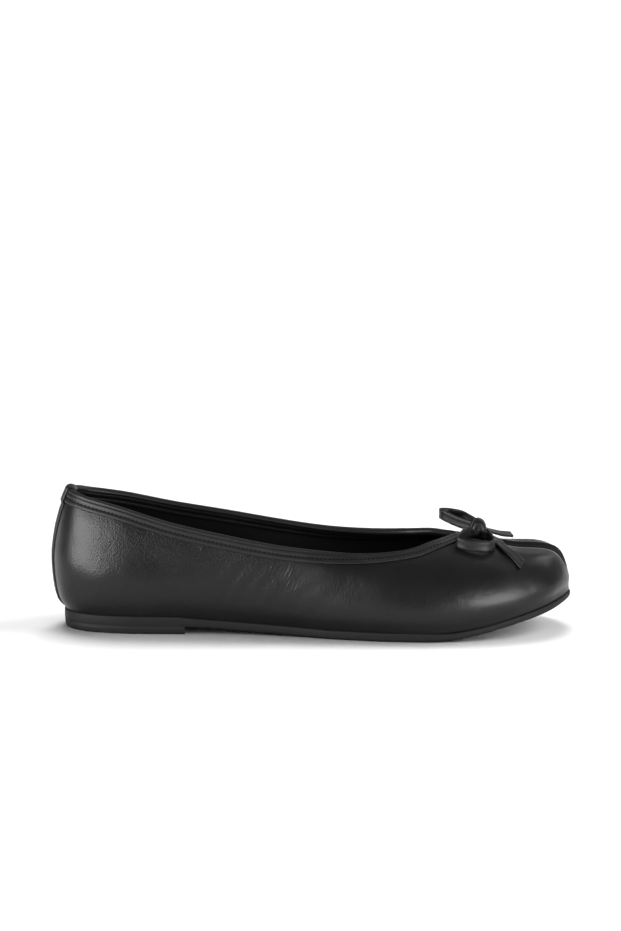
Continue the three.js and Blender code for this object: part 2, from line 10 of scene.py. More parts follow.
import bpy
import numpy as np
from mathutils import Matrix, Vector


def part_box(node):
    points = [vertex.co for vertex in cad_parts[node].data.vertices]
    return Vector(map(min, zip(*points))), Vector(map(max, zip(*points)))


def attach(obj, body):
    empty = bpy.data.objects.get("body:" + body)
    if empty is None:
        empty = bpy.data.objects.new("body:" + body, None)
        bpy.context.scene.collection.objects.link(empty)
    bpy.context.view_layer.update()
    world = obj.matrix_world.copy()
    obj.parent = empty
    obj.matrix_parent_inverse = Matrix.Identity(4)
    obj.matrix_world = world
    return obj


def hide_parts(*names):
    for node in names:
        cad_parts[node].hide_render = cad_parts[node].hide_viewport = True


MM = 0.001
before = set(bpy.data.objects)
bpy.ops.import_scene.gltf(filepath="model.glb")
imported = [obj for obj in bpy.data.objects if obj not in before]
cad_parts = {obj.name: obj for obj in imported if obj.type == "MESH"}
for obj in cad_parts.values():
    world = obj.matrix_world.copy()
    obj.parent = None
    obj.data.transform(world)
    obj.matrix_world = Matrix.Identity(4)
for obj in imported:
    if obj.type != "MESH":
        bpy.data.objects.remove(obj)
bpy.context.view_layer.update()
print("CAD nodes:", ", ".join(sorted(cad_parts)))


def placed(name, data):
    """A new object in the scene, at the origin."""
    thing = bpy.data.objects.new(name, data)
    bpy.context.scene.collection.objects.link(thing)
    return thing


# %% [markdown]
# The camera comes first, because it decides what has to look right. The photograph was taken from far away with a
# long lens, a little above the shoe and turned slightly to its toe. The sensor's long side is the picture's height.

# %% Camera
VIEW_TARGET = Vector((-0.1, 0.8, 78.1)) * MM
VIEW_DISTANCE = 1650 * MM
VIEW_ELEVATION = math.radians(9.7)
VIEW_TURN = math.radians(1.5)
SENSOR = 36
FOCAL_PIXELS = 3419.7
PHOTO_HEIGHT = 931

view_direction = Vector((
    -math.sin(VIEW_TURN) * math.cos(VIEW_ELEVATION),
    math.cos(VIEW_TURN) * math.cos(VIEW_ELEVATION),
    -math.sin(VIEW_ELEVATION),
))
lens_data = bpy.data.cameras.new("photo camera")
lens_data.sensor_width = SENSOR
lens_data.lens = SENSOR * FOCAL_PIXELS / PHOTO_HEIGHT
lens_data.clip_end = 100
camera = placed("photo camera", lens_data)
camera.location = VIEW_TARGET - view_direction * VIEW_DISTANCE
camera.rotation_euler = view_direction.to_track_quat("-Z", "Y").to_euler()
bpy.context.scene.camera = camera
print("camera", [round(v, 3) for v in camera.location], "lens", round(lens_data.lens, 1))

# %% [markdown]
# A shoemaker starts from a last, and so does this script. The last is a ring of ribs: each rib starts on the
# sole's edge and ends on the topline. The tables hold shares of the named sizes, one row for each rib from heel to
# toe. A mesh could be subdivided from the CAD faces instead, but a surface with two coordinates, the place round
# the ring and the share of the rib, also says where every seam, stitch and crease goes.

# %% Sizes of the shoe
SOLE_LENGTH, SOLE_WIDTH, SOLE_THICKNESS = 245.5, 82, 4.4
TOE_SPRING, HEEL_LIFT, HEEL_LENGTH = 13.6, 4, 60
HEEL_INSET, HEEL_TAPER, BREAST_HOLLOW = 0.2, 0.8, 1.5
SOLE_EDGE_ROUND = 1.2
BACK_HEIGHT, OPENING_WIDTH = 57.5, 60
WALL, SWELL, COUNTER_OVERHANG, FEATHER_INSET = 1.7, 5, 5.2, 1.6
CLEFT_DEPTH, CLEFT_HALF_WIDTH, LIP_HEIGHT = 3.4, 4.4, 0.5
INSOLE_THICKNESS = 2.3
BINDING_WIDTH, BINDING_SKIN = 6.2, 0.65
STRIP_WIDTH, STRIP_THICKNESS, STRIP_INSIDE = 9.6, 0.8, 12
STRAP_WIDTH, STRAP_THICKNESS = 5.2, 1.3
BOW_SETBACK, KNOT_LENGTH, KNOT_DEPTH, KNOT_HEIGHT = 11, 8.6, 5.4, 9.2
LOOP_REACH, TAIL_REACH, TAIL_LEAN = 19, 20, 0.32
GAP = 0.3


def table(names, rows):
    """Named columns of numbers."""
    return dict(zip(names.split(), np.array(rows, float).T))


RIBS = table("along lateral medial top_along top_lateral top_medial rise_lateral rise_medial", [
    (0.000, 0.000, 0.000, 0.011, 0.000, 0.000, 1.000, 1.000),
    (0.012, 0.293, 0.293, 0.022, 0.283, 0.283, 0.990, 0.990),
    (0.051, 0.507, 0.495, 0.052, 0.483, 0.483, 0.956, 0.956),
    (0.122, 0.620, 0.602, 0.117, 0.667, 0.667, 0.893, 0.901),
    (0.220, 0.639, 0.615, 0.215, 0.800, 0.800, 0.774, 0.807),
    (0.326, 0.639, 0.561, 0.317, 0.877, 0.850, 0.716, 0.767),
    (0.432, 0.715, 0.576, 0.418, 0.940, 0.900, 0.664, 0.713),
    (0.538, 0.868, 0.722, 0.516, 0.993, 0.967, 0.636, 0.662),
    (0.640, 0.980, 0.883, 0.602, 0.977, 0.977, 0.618, 0.636),
    (0.737, 1.000, 0.966, 0.675, 0.860, 0.890, 0.638, 0.644),
    (0.827, 0.917, 0.941, 0.722, 0.633, 0.680, 0.639, 0.622),
    (0.906, 0.725, 0.800, 0.750, 0.393, 0.440, 0.578, 0.553),
    (0.967, 0.415, 0.525, 0.767, 0.183, 0.240, 0.518, 0.495),
    (1.000, -0.061, 0.061, 0.772, -0.033, 0.033, 0.462, 0.462),
])

FORMS = table(
    "rib turn_bulge turn_up belly_bulge belly_up shoulder_in shoulder_bulge shoulder_up "
    "crown_in crown_bulge crown_up medial_swell medial_lift", [
        (0, 0.46, 0.07, 1.04, 0.40, 0.40, 1.03, 0.62, 0.75, 0.63, 0.83, 1.0, 1.00),
        (3, 0.15, 0.06, 0.55, 0.36, 0.35, 0.56, 0.58, 0.68, 0.40, 0.80, 1.1, 1.00),
        (5, 0.10, 0.07, 0.50, 0.36, 0.50, 0.50, 0.62, 0.80, 0.30, 0.84, 1.9, 1.00),
        (7, 0.10, 0.08, 0.40, 0.32, 0.30, 0.50, 0.60, 0.68, 0.45, 0.84, 1.4, 1.00),
        (9, 0.08, 0.09, 0.35, 0.30, 0.14, 0.30, 0.60, 0.50, 0.15, 0.86, 1.0, 1.00),
        (11, 0.00, 0.09, 0.12, 0.30, 0.13, 0.12, 0.64, 0.48, 0.00, 0.82, 1.0, 1.085),
        (12, -0.08, 0.09, 0.25, 0.28, 0.13, 0.23, 0.69, 0.42, 0.00, 0.79, 2.0, 1.10),
        (13, -0.18, 0.09, -0.12, 0.26, 0.132, 0.107, 0.713, 0.51, -0.107, 0.83, 1.0, 1.00),
    ])

SOLE = table("along heel spring thick", [
    (0.00, 1.00, 0.000, 1.00),
    (0.22, 1.00, 0.000, 1.00),
    (0.27, 0.76, 0.000, 1.00),
    (0.33, 0.52, 0.000, 1.00),
    (0.41, 0.27, 0.000, 1.00),
    (0.48, 0.10, 0.000, 1.00),
    (0.54, 0.00, 0.000, 1.00),
    (0.70, 0.00, 0.000, 1.00),
    (0.76, 0.00, 0.050, 0.84),
    (0.80, 0.00, 0.170, 0.77),
    (0.84, 0.00, 0.320, 0.75),
    (0.88, 0.00, 0.490, 0.75),
    (0.92, 0.00, 0.655, 0.77),
    (0.96, 0.00, 0.845, 0.76),
    (1.00, 0.00, 1.070, 0.66),
])

# %% Reading a table
def read(columns, place, name, at):
    """A smooth curve through one column that never overshoots its rows."""
    x, y = columns[place], columns[name]
    at = np.clip(np.asarray(at, float), x[0], x[-1])
    slope = np.diff(y) / np.diff(x)
    before, after = slope[:-1], slope[1:]
    product = before * after
    total = np.where(product > 0, before + after, 1)
    lean = np.concatenate([slope[:1], np.where(product > 0, 2 * product / total, 0), slope[-1:]])
    k = np.clip(np.searchsorted(x, at, side="right") - 1, 0, len(x) - 2)
    span = x[k + 1] - x[k]
    t = (at - x[k]) / span
    stay, go = (1 + 2 * t) * (1 - t) ** 2, t * t * (3 - 2 * t)
    return (y[k] * stay + y[k + 1] * go
            + span * (lean[k] * t * (1 - t) ** 2 - lean[k + 1] * t * t * (1 - t)))


def smooth_step(value, low, high):
    """0 below low, 1 above high and soft in between."""
    t = np.clip((np.asarray(value, float) - low) / (high - low), 0, 1)
    return t * t * (3 - 2 * t)


TOE_RIB = len(RIBS["along"]) - 1
RING = 2 * TOE_RIB
SOLE_BACK = COUNTER_OVERHANG + GAP + STRIP_THICKNESS


def sole_bottom(x):
    at = (x - SOLE_BACK) / SOLE_LENGTH
    return read(SOLE, "along", "heel", at) * (HEEL_LIFT + GAP) + read(SOLE, "along", "spring", at) * TOE_SPRING


def sole_top(x):
    return sole_bottom(x) + SOLE_THICKNESS * read(SOLE, "along", "thick", (x - SOLE_BACK) / SOLE_LENGTH)


# %% The ribs of the last
def unit(vectors):
    return vectors / np.linalg.norm(vectors, axis=-1, keepdims=True)


def sole_edge_at(k):
    k %= RING
    lateral = k <= TOE_RIB
    row = k if lateral else RING - k
    side = -RIBS["lateral"][row] if lateral else RIBS["medial"][row]
    return np.array([SOLE_BACK + RIBS["along"][row] * SOLE_LENGTH, side * SOLE_WIDTH / 2, 0])


def rib_points(k):
    """The six points that a rib runs through, from the sole to the topline."""
    lateral = k <= TOE_RIB
    rib = k if lateral else RING - k
    side = "lateral" if lateral else "medial"
    edge = sole_edge_at(k)
    foot = float(sole_top(edge[0])) + GAP
    rise = RIBS["rise_" + side][rib] * BACK_HEIGHT
    across = RIBS["top_" + side][rib] * OPENING_WIDTH / 2 * (-1 if lateral else 1)
    top = np.array([SOLE_BACK + RIBS["top_along"][rib] * SOLE_LENGTH, across, foot + rise])
    tangent = unit(sole_edge_at(k + 1) - sole_edge_at(k - 1))
    out = np.array([tangent[1], -tangent[0], 0])
    plan = (edge - top) * (1, 1, 0)
    away = unit(plan + out * OPENING_WIDTH / 3)
    form = {name: float(read(FORMS, "rib", name, rib)) for name in FORMS}
    reach = SWELL * (1 if lateral else form["medial_swell"])
    lift = 1 if lateral else form["medial_lift"]

    def point(inward, bulge, up):
        spot = edge - plan * inward + away * bulge * reach
        return np.array([spot[0], spot[1], foot + up * rise])

    base = edge - out * FEATHER_INSET
    return np.array([
        (base[0], base[1], foot),
        point(0, form["turn_bulge"], form["turn_up"]),
        point(0, form["belly_bulge"], form["belly_up"]),
        point(form["shoulder_in"], form["shoulder_bulge"], form["shoulder_up"] * lift),
        point(form["crown_in"], form["crown_bulge"], form["crown_up"] * (1 + lift) / 2),
        top,
    ])


EDGE_POINTS = np.array([sole_edge_at(k) for k in range(RING)])
RIB_POINTS = np.array([rib_points(k) for k in range(RING)])


def hermite(p, q, leave, arrive, t):
    return (p * (2 * t ** 3 - 3 * t ** 2 + 1) + leave * (t ** 3 - 2 * t ** 2 + t)
            + q * (3 * t ** 2 - 2 * t ** 3) + arrive * (t ** 3 - t ** 2))


def round_ring(points, u):
    """Points on the smooth closed curves through the matching points of all the ribs."""
    u = np.atleast_1d(np.asarray(u, float)) % RING
    i = np.floor(u).astype(int)
    p0, p1, p2, p3 = (points[(i + step) % RING] for step in (-1, 0, 1, 2))
    t = (u - i).reshape(-1, *[1] * (points.ndim - 1))
    return hermite(p1, p2, (p2 - p0) / 2, (p3 - p1) / 2, t)


SPAN_STEPS = 24    # points between two rows of a polyline


def smooth_through(points):
    """A fine polyline through each row of points, rounded without overshoot."""
    first, last = 2 * points[:, :1] - points[:, 1:2], 2 * points[:, -1:] - points[:, -2:-1]
    p = np.concatenate([first, points, last], axis=1)
    step = np.maximum(np.linalg.norm(np.diff(p, axis=1), axis=2), 1e-6)[..., None] ** 0.5
    t = np.arange(SPAN_STEPS).reshape(1, -1, 1) / SPAN_STEPS
    spans = []
    for k in range(points.shape[1] - 1):
        p0, p1, p2, p3 = (p[:, k + n] for n in range(4))
        d0, d1, d2 = step[:, k], step[:, k + 1], step[:, k + 2]
        leave = ((p1 - p0) / d0 - (p2 - p0) / (d0 + d1) + (p2 - p1) / d1) * d1
        arrive = ((p2 - p1) / d1 - (p3 - p1) / (d1 + d2) + (p3 - p2) / d2) * d1
        spans.append(hermite(p1[:, None], p2[:, None], leave[:, None], arrive[:, None], t))
    return np.concatenate([*spans, points[:, -1:]], axis=1)


def walk(lines, shares):
    """Points at shares of each polyline's length."""
    shares = np.broadcast_to(shares, (len(lines), np.shape(shares)[-1]))
    lengths = np.concatenate(
        [np.zeros((len(lines), 1)), np.cumsum(np.linalg.norm(np.diff(lines, axis=1), axis=2), axis=1)], axis=1)
    out = np.empty((*shares.shape, 3))
    for n, (line, length) in enumerate(zip(lines, lengths)):
        for axis in range(3):
            out[n, :, axis] = np.interp(shares[n] * length[-1], length, line[:, axis])
    return out


def form_points(u, s):
    return walk(smooth_through(round_ring(RIB_POINTS, u)), s)


def rib_length(u):
    lines = smooth_through(round_ring(RIB_POINTS, u))
    return np.linalg.norm(np.diff(lines, axis=1), axis=2).sum(axis=1)


RING_STEP, RIB_STEP = 0.04, 0.012


def form_normals(u, s):
    """The outward direction of the last, from two short steps."""
    inner = np.clip(s, RIB_STEP, 1 - RIB_STEP)
    across = form_points(u + RING_STEP, inner) - form_points(u - RING_STEP, inner)
    along = form_points(u, inner + RIB_STEP) - form_points(u, inner - RIB_STEP)
    return unit(np.cross(across, along))


SEAM_RIBS, FAR_ASIDE = 1.5, 99.0    # the seam reaches this many ribs round; beyond, points count as far from it


def cleft(u, s, points):
    """How far the pinched seam down the toe moves the surface, and the distance from the seam."""
    middle = form_points(np.array([TOE_RIB]), s[:1] if s.ndim > 1 else s)
    aside = np.linalg.norm(points - middle, axis=2)
    near = np.abs(np.asarray(u) - TOE_RIB) <= SEAM_RIBS
    aside = np.where(near[:, None], aside, FAR_ASIDE)
    share = aside / CLEFT_HALF_WIDTH
    valley = CLEFT_DEPTH * (1 - smooth_step(share, 0, 0.9))
    lip = LIP_HEIGHT * smooth_step(share, 0.45, 0.9) * (1 - smooth_step(share, 0.9, 1.7))
    present = smooth_step(s, 0.10, 0.28) * (1 - smooth_step(s, 0.82, 0.92))
    return present * (lip - valley), aside


def skin(u, s, offset):
    """The last's surface with its cleft, moved out by an offset."""
    points, normals = form_points(u, s), form_normals(u, s)
    moved, _ = cleft(u, np.asarray(s, float), points)
    return points + normals * (moved + offset)[..., None]


edge_probe = round_ring(EDGE_POINTS, np.arange(0, RING, 0.02))
outsole_low, outsole_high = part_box("outsole")
SHIFT = np.array([
    outsole_low.x / MM - edge_probe[:, 0].min(),
    (outsole_low.y + outsole_high.y) / 2 / MM - (edge_probe[:, 1].min() + edge_probe[:, 1].max()) / 2,
    0,
])
print("last: ribs", RING, "shift to the frame", SHIFT.round(3))

# %% [markdown]
# Shader maths reads best as sums and products. One small class wraps a node's output and turns operators into Math
# nodes, and one method adds any other node. Every finish below is written with these two.

# %% Shader helpers
class Value:
    """A number that travels along a node link."""

    def __init__(self, finish, link):
        self.finish, self.link = finish, link

    def _math(self, operation, first, second):
        return self.finish.node("ShaderNodeMath", {"operation": operation}, first, second)

    def __add__(self, other):
        return self._math("ADD", self, other)

    def __sub__(self, other):
        return self._math("SUBTRACT", self, other)

    def __rsub__(self, other):
        return self._math("SUBTRACT", other, self)

    def __mul__(self, other):
        return self._math("MULTIPLY", self, other)

    __radd__, __rmul__ = __add__, __mul__


class Finish:
    """A material and the nodes in it."""

    def __init__(self, name):
        self.material = bpy.data.materials.new(name)
        self.material.use_nodes = True
        self.tree = self.material.node_tree
        self.shader = self.tree.nodes["Principled BSDF"]

    def node(self, kind, settings, *values, output=0, **named):
        """A new node: its settings first, then the values or links of its sockets."""
        made = self.tree.nodes.new(kind)
        for key, value in settings.items():
            setattr(made, key, value)
        for place, value in [*enumerate(values), *named.items()]:
            self.put(made.inputs[place], value)
        return Value(self, made.outputs[output])

    def put(self, socket, value):
        if isinstance(value, Value):
            self.tree.links.new(value.link, socket)
        else:
            socket.default_value = value

    def place(self):
        return self.node("ShaderNodeTexCoord", {}, output="Object")

    def set(self, **sockets):
        for name, value in sockets.items():
            self.put(self.shader.inputs[name.replace("_", " ")], value)
        return self.material


def noise(finish, size, detail):
    """Soft noise whose grains are so many millimetres wide."""
    return finish.node("ShaderNodeTexNoise", {}, Vector=finish.place(), Scale=1 / (size * MM), Detail=detail)


def pebbles(finish, size):
    """The rounded grains of leather, so many millimetres wide, with edges bent by a noise."""
    warp = finish.node("ShaderNodeTexNoise", {}, Vector=finish.place(), Scale=1 / (size * MM), output="Color")
    spot = finish.node("ShaderNodeVectorMath", {"operation": "MULTIPLY_ADD"}, warp,
                       (size * MM * 0.7,) * 3, finish.place())
    return finish.node("ShaderNodeTexVoronoi", {"feature": "SMOOTH_F1"}, Vector=spot, Scale=1 / (size * MM),
                       Smoothness=0.6)


def bump(finish, height, distance, normal=None):
    extra = {"Normal": normal} if normal else {}
    return finish.node("ShaderNodeBump", {}, Height=height, Strength=1.0, Distance=distance * MM, **extra)


def grey(finish, value):
    """A number made a colour."""
    return finish.node("ShaderNodeCombineColor", {}, Red=value, Green=value, Blue=value)


# %% [markdown]
# Smooth black calf leather is almost black itself. What the eye sees is gloss: a satin sheen, broken by fine
# pebbles where the hide was stretched least, near the heel, and by fine lines where it bends. Grain and lines are
# bump, tone and roughness, because each is under a millimetre wide; in the tone the lines are painted shade in their
# troughs and painted highlight on their ridges. Where they lie is painted on the mesh, as are painted shade and a
# painted highlight line beside the toe's seam. The binding and the bow are the same hide with a drier finish.

# %% Leather, lining, rubber and thread
def painted(finish, name):
    """A number that a mesh carries at its points."""
    return finish.node("ShaderNodeAttribute", {"attribute_name": name}, output="Fac")


def streaks(finish, size, lean, stretch):
    """Fine lines across the shoe's side, so many millimetres apart, that lean by an angle and run on."""
    spot = finish.node("ShaderNodeMapping", {"vector_type": "TEXTURE"}, Vector=finish.place(),
                       Rotation=(0, math.radians(lean), 0), Scale=(1, 1, stretch))
    return finish.node("ShaderNodeTexNoise", {}, Vector=spot, Scale=1 / (size * MM), Detail=1.0, Roughness=0.4)


def calf():
    finish = Finish("black calf leather")
    grains, small = pebbles(finish, 0.75), pebbles(finish, 0.55)
    fine, broad = noise(finish, 0.3, 3), noise(finish, 20, 3)
    grain, wrinkle, ball = (painted(finish, name) for name in ("grain", "wrinkle", "ball"))
    # Painted shade comes from the shade layer, and a painted highlight, a light line beside the crease along the
    # toe's seam, from the layer named edge.
    shade, edge = painted(finish, "shade"), painted(finish, "edge")
    slanted, upright = streaks(finish, 0.9, 27, 8), streaks(finish, 0.9, 4, 6)
    hide_tone, seam_highlight_tone = 0.0070, 0.17
    # The fine lines darken the tone in their troughs and lighten it on their ridges: painted shade and painted
    # highlight, beside their bump.
    lines = (slanted - 0.5) * wrinkle * 1.8 + (upright - 0.5) * ball * 0.5
    # The hide's own tone, less the painted shade, plus the painted highlight, with the painted lines over all.
    tone = ((broad * 0.5 + 0.75) * (1 - shade * 0.9) * hide_tone + edge * seam_highlight_tone) * (1 + lines)
    rough = broad * 0.10 + small * 0.05 + 0.25 + shade * 0.5 - lines * 0.05
    relief = bump(finish, small * 0.5 + fine * 0.15, 0.022)
    relief = bump(finish, grains * grain, 0.14, relief)
    relief = bump(finish, lines, 0.13, relief)
    relief = bump(finish, broad, 0.6, relief)
    return finish.set(Base_Color=grey(finish, tone), Roughness=rough, Normal=relief, Specular_IOR_Level=0.27)


def trim():
    finish = Finish("black trim leather")
    grains, broad = pebbles(finish, 0.6), noise(finish, 9, 3)
    return finish.set(
        Base_Color=grey(finish, (broad * 0.5 + 0.75) * 0.010), Roughness=broad * 0.12 + grains * 0.06 + 0.34,
        Normal=bump(finish, grains + broad * 1.2, 0.05), Specular_IOR_Level=0.3)


def lining():
    finish = Finish("black lining")
    fine, broad = noise(finish, 0.5, 3), noise(finish, 14, 3)
    return finish.set(
        Base_Color=grey(finish, (broad * 0.4 + 0.8) * 0.0045), Roughness=fine * 0.1 + 0.62,
        Normal=bump(finish, fine * 0.5 + broad * 2.0, 0.10), Specular_IOR_Level=0.12)


def rubber():
    finish = Finish("black sole rubber")
    fine, broad = noise(finish, 0.35, 4), noise(finish, 9, 3)
    return finish.set(
        Base_Color=grey(finish, (broad * 0.3 + 0.85) * 0.012), Roughness=fine * 0.12 + 0.58,
        Normal=bump(finish, fine + broad * 0.8, 0.04), Specular_IOR_Level=0.22)


def thread():
    finish = Finish("black thread")
    twist = noise(finish, 0.2, 2)
    return finish.set(Base_Color=grey(finish, twist * 0.002 + 0.003), Roughness=0.8,
                      Normal=bump(finish, twist, 0.04), Specular_IOR_Level=0.1)


UPPER_LEATHER, TRIM_LEATHER, LINING, RUBBER, THREAD = calf(), trim(), lining(), rubber(), thread()
print("finishes:", ", ".join(m.name for m in (UPPER_LEATHER, TRIM_LEATHER, LINING, RUBBER, THREAD)))

# %% [markdown]
# Most pieces are skins stretched over sections: closed loops of points, one after another. The helper joins
# neighbouring loops with four-sided faces, checks which way they face by the volume they enclose, and turns them
# outwards. The place of a piece is in its mesh, and its object stays at the origin.

# %% Mesh helpers
def wrap(sections, size, ring):
    """Four-sided faces between neighbouring sections."""
    spans = sections if ring else sections - 1
    i, j = np.meshgrid(np.arange(spans), np.arange(size), indexing="ij")
    i, j = i.ravel(), j.ravel()
    after, next_j = (i + 1) % sections, (j + 1) % size
    return np.stack([i * size + j, i * size + next_j, after * size + next_j, after * size + j], axis=1)


def enclosed(points, faces):
    """Six times the volume inside the faces, below zero where they face inwards."""
    total = 0.0
    for face in faces:
        corner = points[face[0]]
        for a, b in zip(face[1:-1], face[2:]):
            total += np.dot(corner, np.cross(points[a], points[b]))
    return total


def ride(thing, replaced=()):
    """Fixes an object to the shoe's body and hides the CAD nodes that it stands for."""
    thing.data.shade_smooth()
    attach(thing, "root")
    if replaced:
        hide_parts(*replaced)
    print(thing.name, len(thing.data.vertices), "points", len(thing.data.polygons), "faces")


def piece(name, points, faces, materials, slot_of, node, slots=None, paint=None):
    """A smooth mesh for a CAD node. Slots pick a material for each face, and paint holds numbers for the points."""
    points = np.asarray(points, float)
    faces = [tuple(int(v) for v in face) for face in faces]
    if enclosed(points, faces) < 0:
        faces = [face[::-1] for face in faces]
    mesh = bpy.data.meshes.new(name)
    mesh.from_pydata(((points + SHIFT) * MM).tolist(), [], faces)
    for material in materials:
        mesh.materials.append(material)
    if slots is not None:
        mesh.polygons.foreach_set("material_index", np.asarray(slots, dtype=np.int32))
    for title, values in (paint or {}).items():
        layer = mesh.attributes.new(title, "FLOAT", "POINT")
        layer.data.foreach_set("value", np.asarray(values, dtype=np.float32))
    ride(placed(name, mesh), [node])


def bar(sections):
    """Points and faces of a solid between two flat ends."""
    size = len(sections[0])
    faces = wrap(len(sections), size, False).tolist()
    last = (len(sections) - 1) * size
    faces += [list(range(size))[::-1], [last + j for j in range(size)]]
    return np.concatenate(sections), faces


# %% [markdown]
# The upper is one hide pulled over the last, folded under at the sole and cut at the topline. Soft creases run
# where the hide gave way: short slanted ones on the waist, and faint ones behind the toe. Each on the waist is a row
# of a table, a trough with a low ridge beside it, placed in shares of the shoe's length and back height; those
# behind the toe are only fine lines in the finish. The seam down the toe is pinched into two rolled lips, with a
# fine crease outside each of them.

# %% Creases of the upper
CREASES = table("side along up length lean depth width", [
    (-1, 0.262, 0.50, 24, 64, 0.12, 2.3),
    (-1, 0.300, 0.47, 27, 62, 0.14, 2.1),
    (-1, 0.333, 0.44, 30, 60, 0.20, 2.3),
    (-1, 0.366, 0.42, 28, 60, 0.18, 2.0),
    (-1, 0.394, 0.40, 26, 58, 0.14, 2.1),
    (-1, 0.430, 0.36, 24, 56, 0.12, 2.3),
    (-1, 0.470, 0.34, 21, 54, 0.08, 2.4),
    (-1, 0.520, 0.32, 20, 50, 0.06, 2.5),
    (1, 0.300, 0.50, 24, 62, 0.10, 2.1),
    (1, 0.340, 0.48, 27, 60, 0.14, 2.1),
    (1, 0.380, 0.46, 27, 58, 0.17, 2.3),
    (1, 0.420, 0.42, 24, 58, 0.14, 2.1),
    (1, 0.465, 0.40, 21, 54, 0.10, 2.3),
    (1, 0.510, 0.36, 18, 52, 0.07, 2.4),
])


def crease_offset(points):
    """How far the hide lies over or under the last because of its creases."""
    moved = np.zeros(points.shape[:2])
    for side, along, up, length, lean, depth, width in zip(*CREASES.values()):
        x = points[..., 0] - SOLE_BACK - along * SOLE_LENGTH
        z = points[..., 2] - up * BACK_HEIGHT
        angle = math.radians(lean)
        run = x * math.cos(angle) + z * math.sin(angle)
        across = -x * math.sin(angle) + z * math.cos(angle) + 0.02 * run ** 2
        fade = np.exp(-(run / length * 2) ** 2)
        trough = -np.exp(-(across / width) ** 2) + 0.5 * np.exp(-((across - 2 * width) / width) ** 2)
        moved += np.where(points[..., 1] * side > 0, depth * fade * trough, 0)
    return moved


# Distance from the seam, height or depth, and softness, in millimetres
LIP_PLACE, LIP_ROLL, LIP_SOFT = 3.9, 0.32, 0.75
PINCH_PLACE, PINCH_DEPTH, PINCH_SOFT = 5.4, 0.34, 0.55


def lip_offset(s, aside):
    """The rolled lip beside the toe's seam and the crease outside it, which deepens towards the toe's front."""
    present = smooth_step(s, 0.16, 0.30) * (1 - smooth_step(s, 0.80, 0.90))
    front = smooth_step(s, 0.16, 0.28) * (1 - smooth_step(s, 0.55, 0.72))
    roll = LIP_ROLL * np.exp(-((aside - LIP_PLACE) / LIP_SOFT) ** 2)
    pinch = PINCH_DEPTH * np.exp(-((aside - PINCH_PLACE) / PINCH_SOFT) ** 2)
    return present * roll - front * pinch


# %% [markdown]
# The finish reads numbers that are painted on the mesh's points: where the hide is grained, wrinkled or lined, where
# the tone carries painted shade and where it carries a painted highlight line beside the toe's seam. Soft patches
# are rows of a table, with the side -1 for the outer side, 1 for the inner side and 0 for both. Painting by place
# keeps each patch where the hide has it, from every side.

# %% Paint of the upper
PAINTED = ("grain", "wrinkle", "ball")
PAINT = table("layer side along up long high strength", [
    (0, 0, 0.20, 0.60, 0.20, 0.40, 1.00),
    (0, 0, 0.34, 0.45, 0.10, 0.30, 0.50),
    (1, -1, 0.270, 0.60, 0.022, 0.07, 0.35),
    (1, -1, 0.390, 0.44, 0.024, 0.13, 0.80),
    (1, -1, 0.443, 0.38, 0.024, 0.15, 1.00),
    (1, 1, 0.350, 0.48, 0.026, 0.14, 0.80),
    (1, 1, 0.450, 0.42, 0.028, 0.15, 0.90),
    (2, 0, 0.56, 0.30, 0.080, 0.16, 0.70),
    (2, 0, 0.70, 0.28, 0.090, 0.16, 1.00),
    (2, 0, 0.50, 0.45, 0.090, 0.20, 0.50),
])
# Where the bow darkens the vamp, in millimetres from the knot
BOW_SHADE = table("forward inner radius strength", [
    (-1, -1, 10, 1.0),
    (-9, -22, 6, 0.45),
    (13, -24, 6, 0.55),
    (16, -19, 6, 0.45),
    (3, 12, 9, 0.6),
])
throat = form_points(np.array([TOE_RIB]), np.array([1.0]))[0, 0]
print("paint:", len(PAINT["layer"]), "patches on the hide,", len(BOW_SHADE["radius"]), "under the bow")


def painted_layer(points, number):
    """Soft patches of one layer on the outer skin."""
    along = (points[..., 0] - SOLE_BACK) / SOLE_LENGTH
    up = (points[..., 2] - sole_top(points[..., 0])) / BACK_HEIGHT
    total = np.zeros(points.shape[:2])
    for layer, side, place, height, long, high, strength in zip(*PAINT.values()):
        if layer == number:
            patch = strength * np.exp(-((along - place) / long) ** 2 - ((up - height) / high) ** 2)
            total += np.where(points[..., 1] * side >= 0, patch, 0)
    return np.clip(total, 0, 1)


def under_bow(points):
    """The shade that the bow keeps on the vamp."""
    total = np.zeros(points.shape[:2])
    for forward, inner, radius, strength in zip(*BOW_SHADE.values()):
        x, y = points[..., 0] - throat[0] - BOW_SETBACK - forward, points[..., 1] - throat[1] - inner
        total += strength * np.exp(-(x ** 2 + y ** 2) / radius ** 2)
    return total


# %% Skins of the upper
def ring_places():
    """Places round the ring, closer together near the seam of the toe."""
    places, u = [], 0.0
    while u < RING - 1e-6:
        places.append(u)
        away = abs(u - TOE_RIB)
        u = round(u + (0.0125 if away < 0.4 else 0.025 if away < 1.1 else 0.05), 6)
    return np.array(places)


PLACES = ring_places()
OUTER_ROWS, INNER_ROWS = 96, 40
FOOT_FULLNESS, FOOT_SOFT = 0.95, 1.7    # the hide swells just over the sole
outer_s = np.linspace(0, 1, OUTER_ROWS)
outer_form = form_points(PLACES, outer_s)
outer_cleft, seam_aside = cleft(PLACES, outer_s, outer_form)
over_foot = outer_form[..., 2] - outer_form[:, :1, 2]
outer_move = (outer_cleft + crease_offset(outer_form) + lip_offset(outer_s, seam_aside)
              + FOOT_FULLNESS * np.exp(-(over_foot / FOOT_SOFT) ** 2))
outer_skin = outer_form + form_normals(PLACES, outer_s) * outer_move[..., None]
inner_skin = skin(PLACES, np.linspace(1, 0, INNER_ROWS), -WALL)
print("upper: places round", len(PLACES), "rows", OUTER_ROWS + INNER_ROWS)
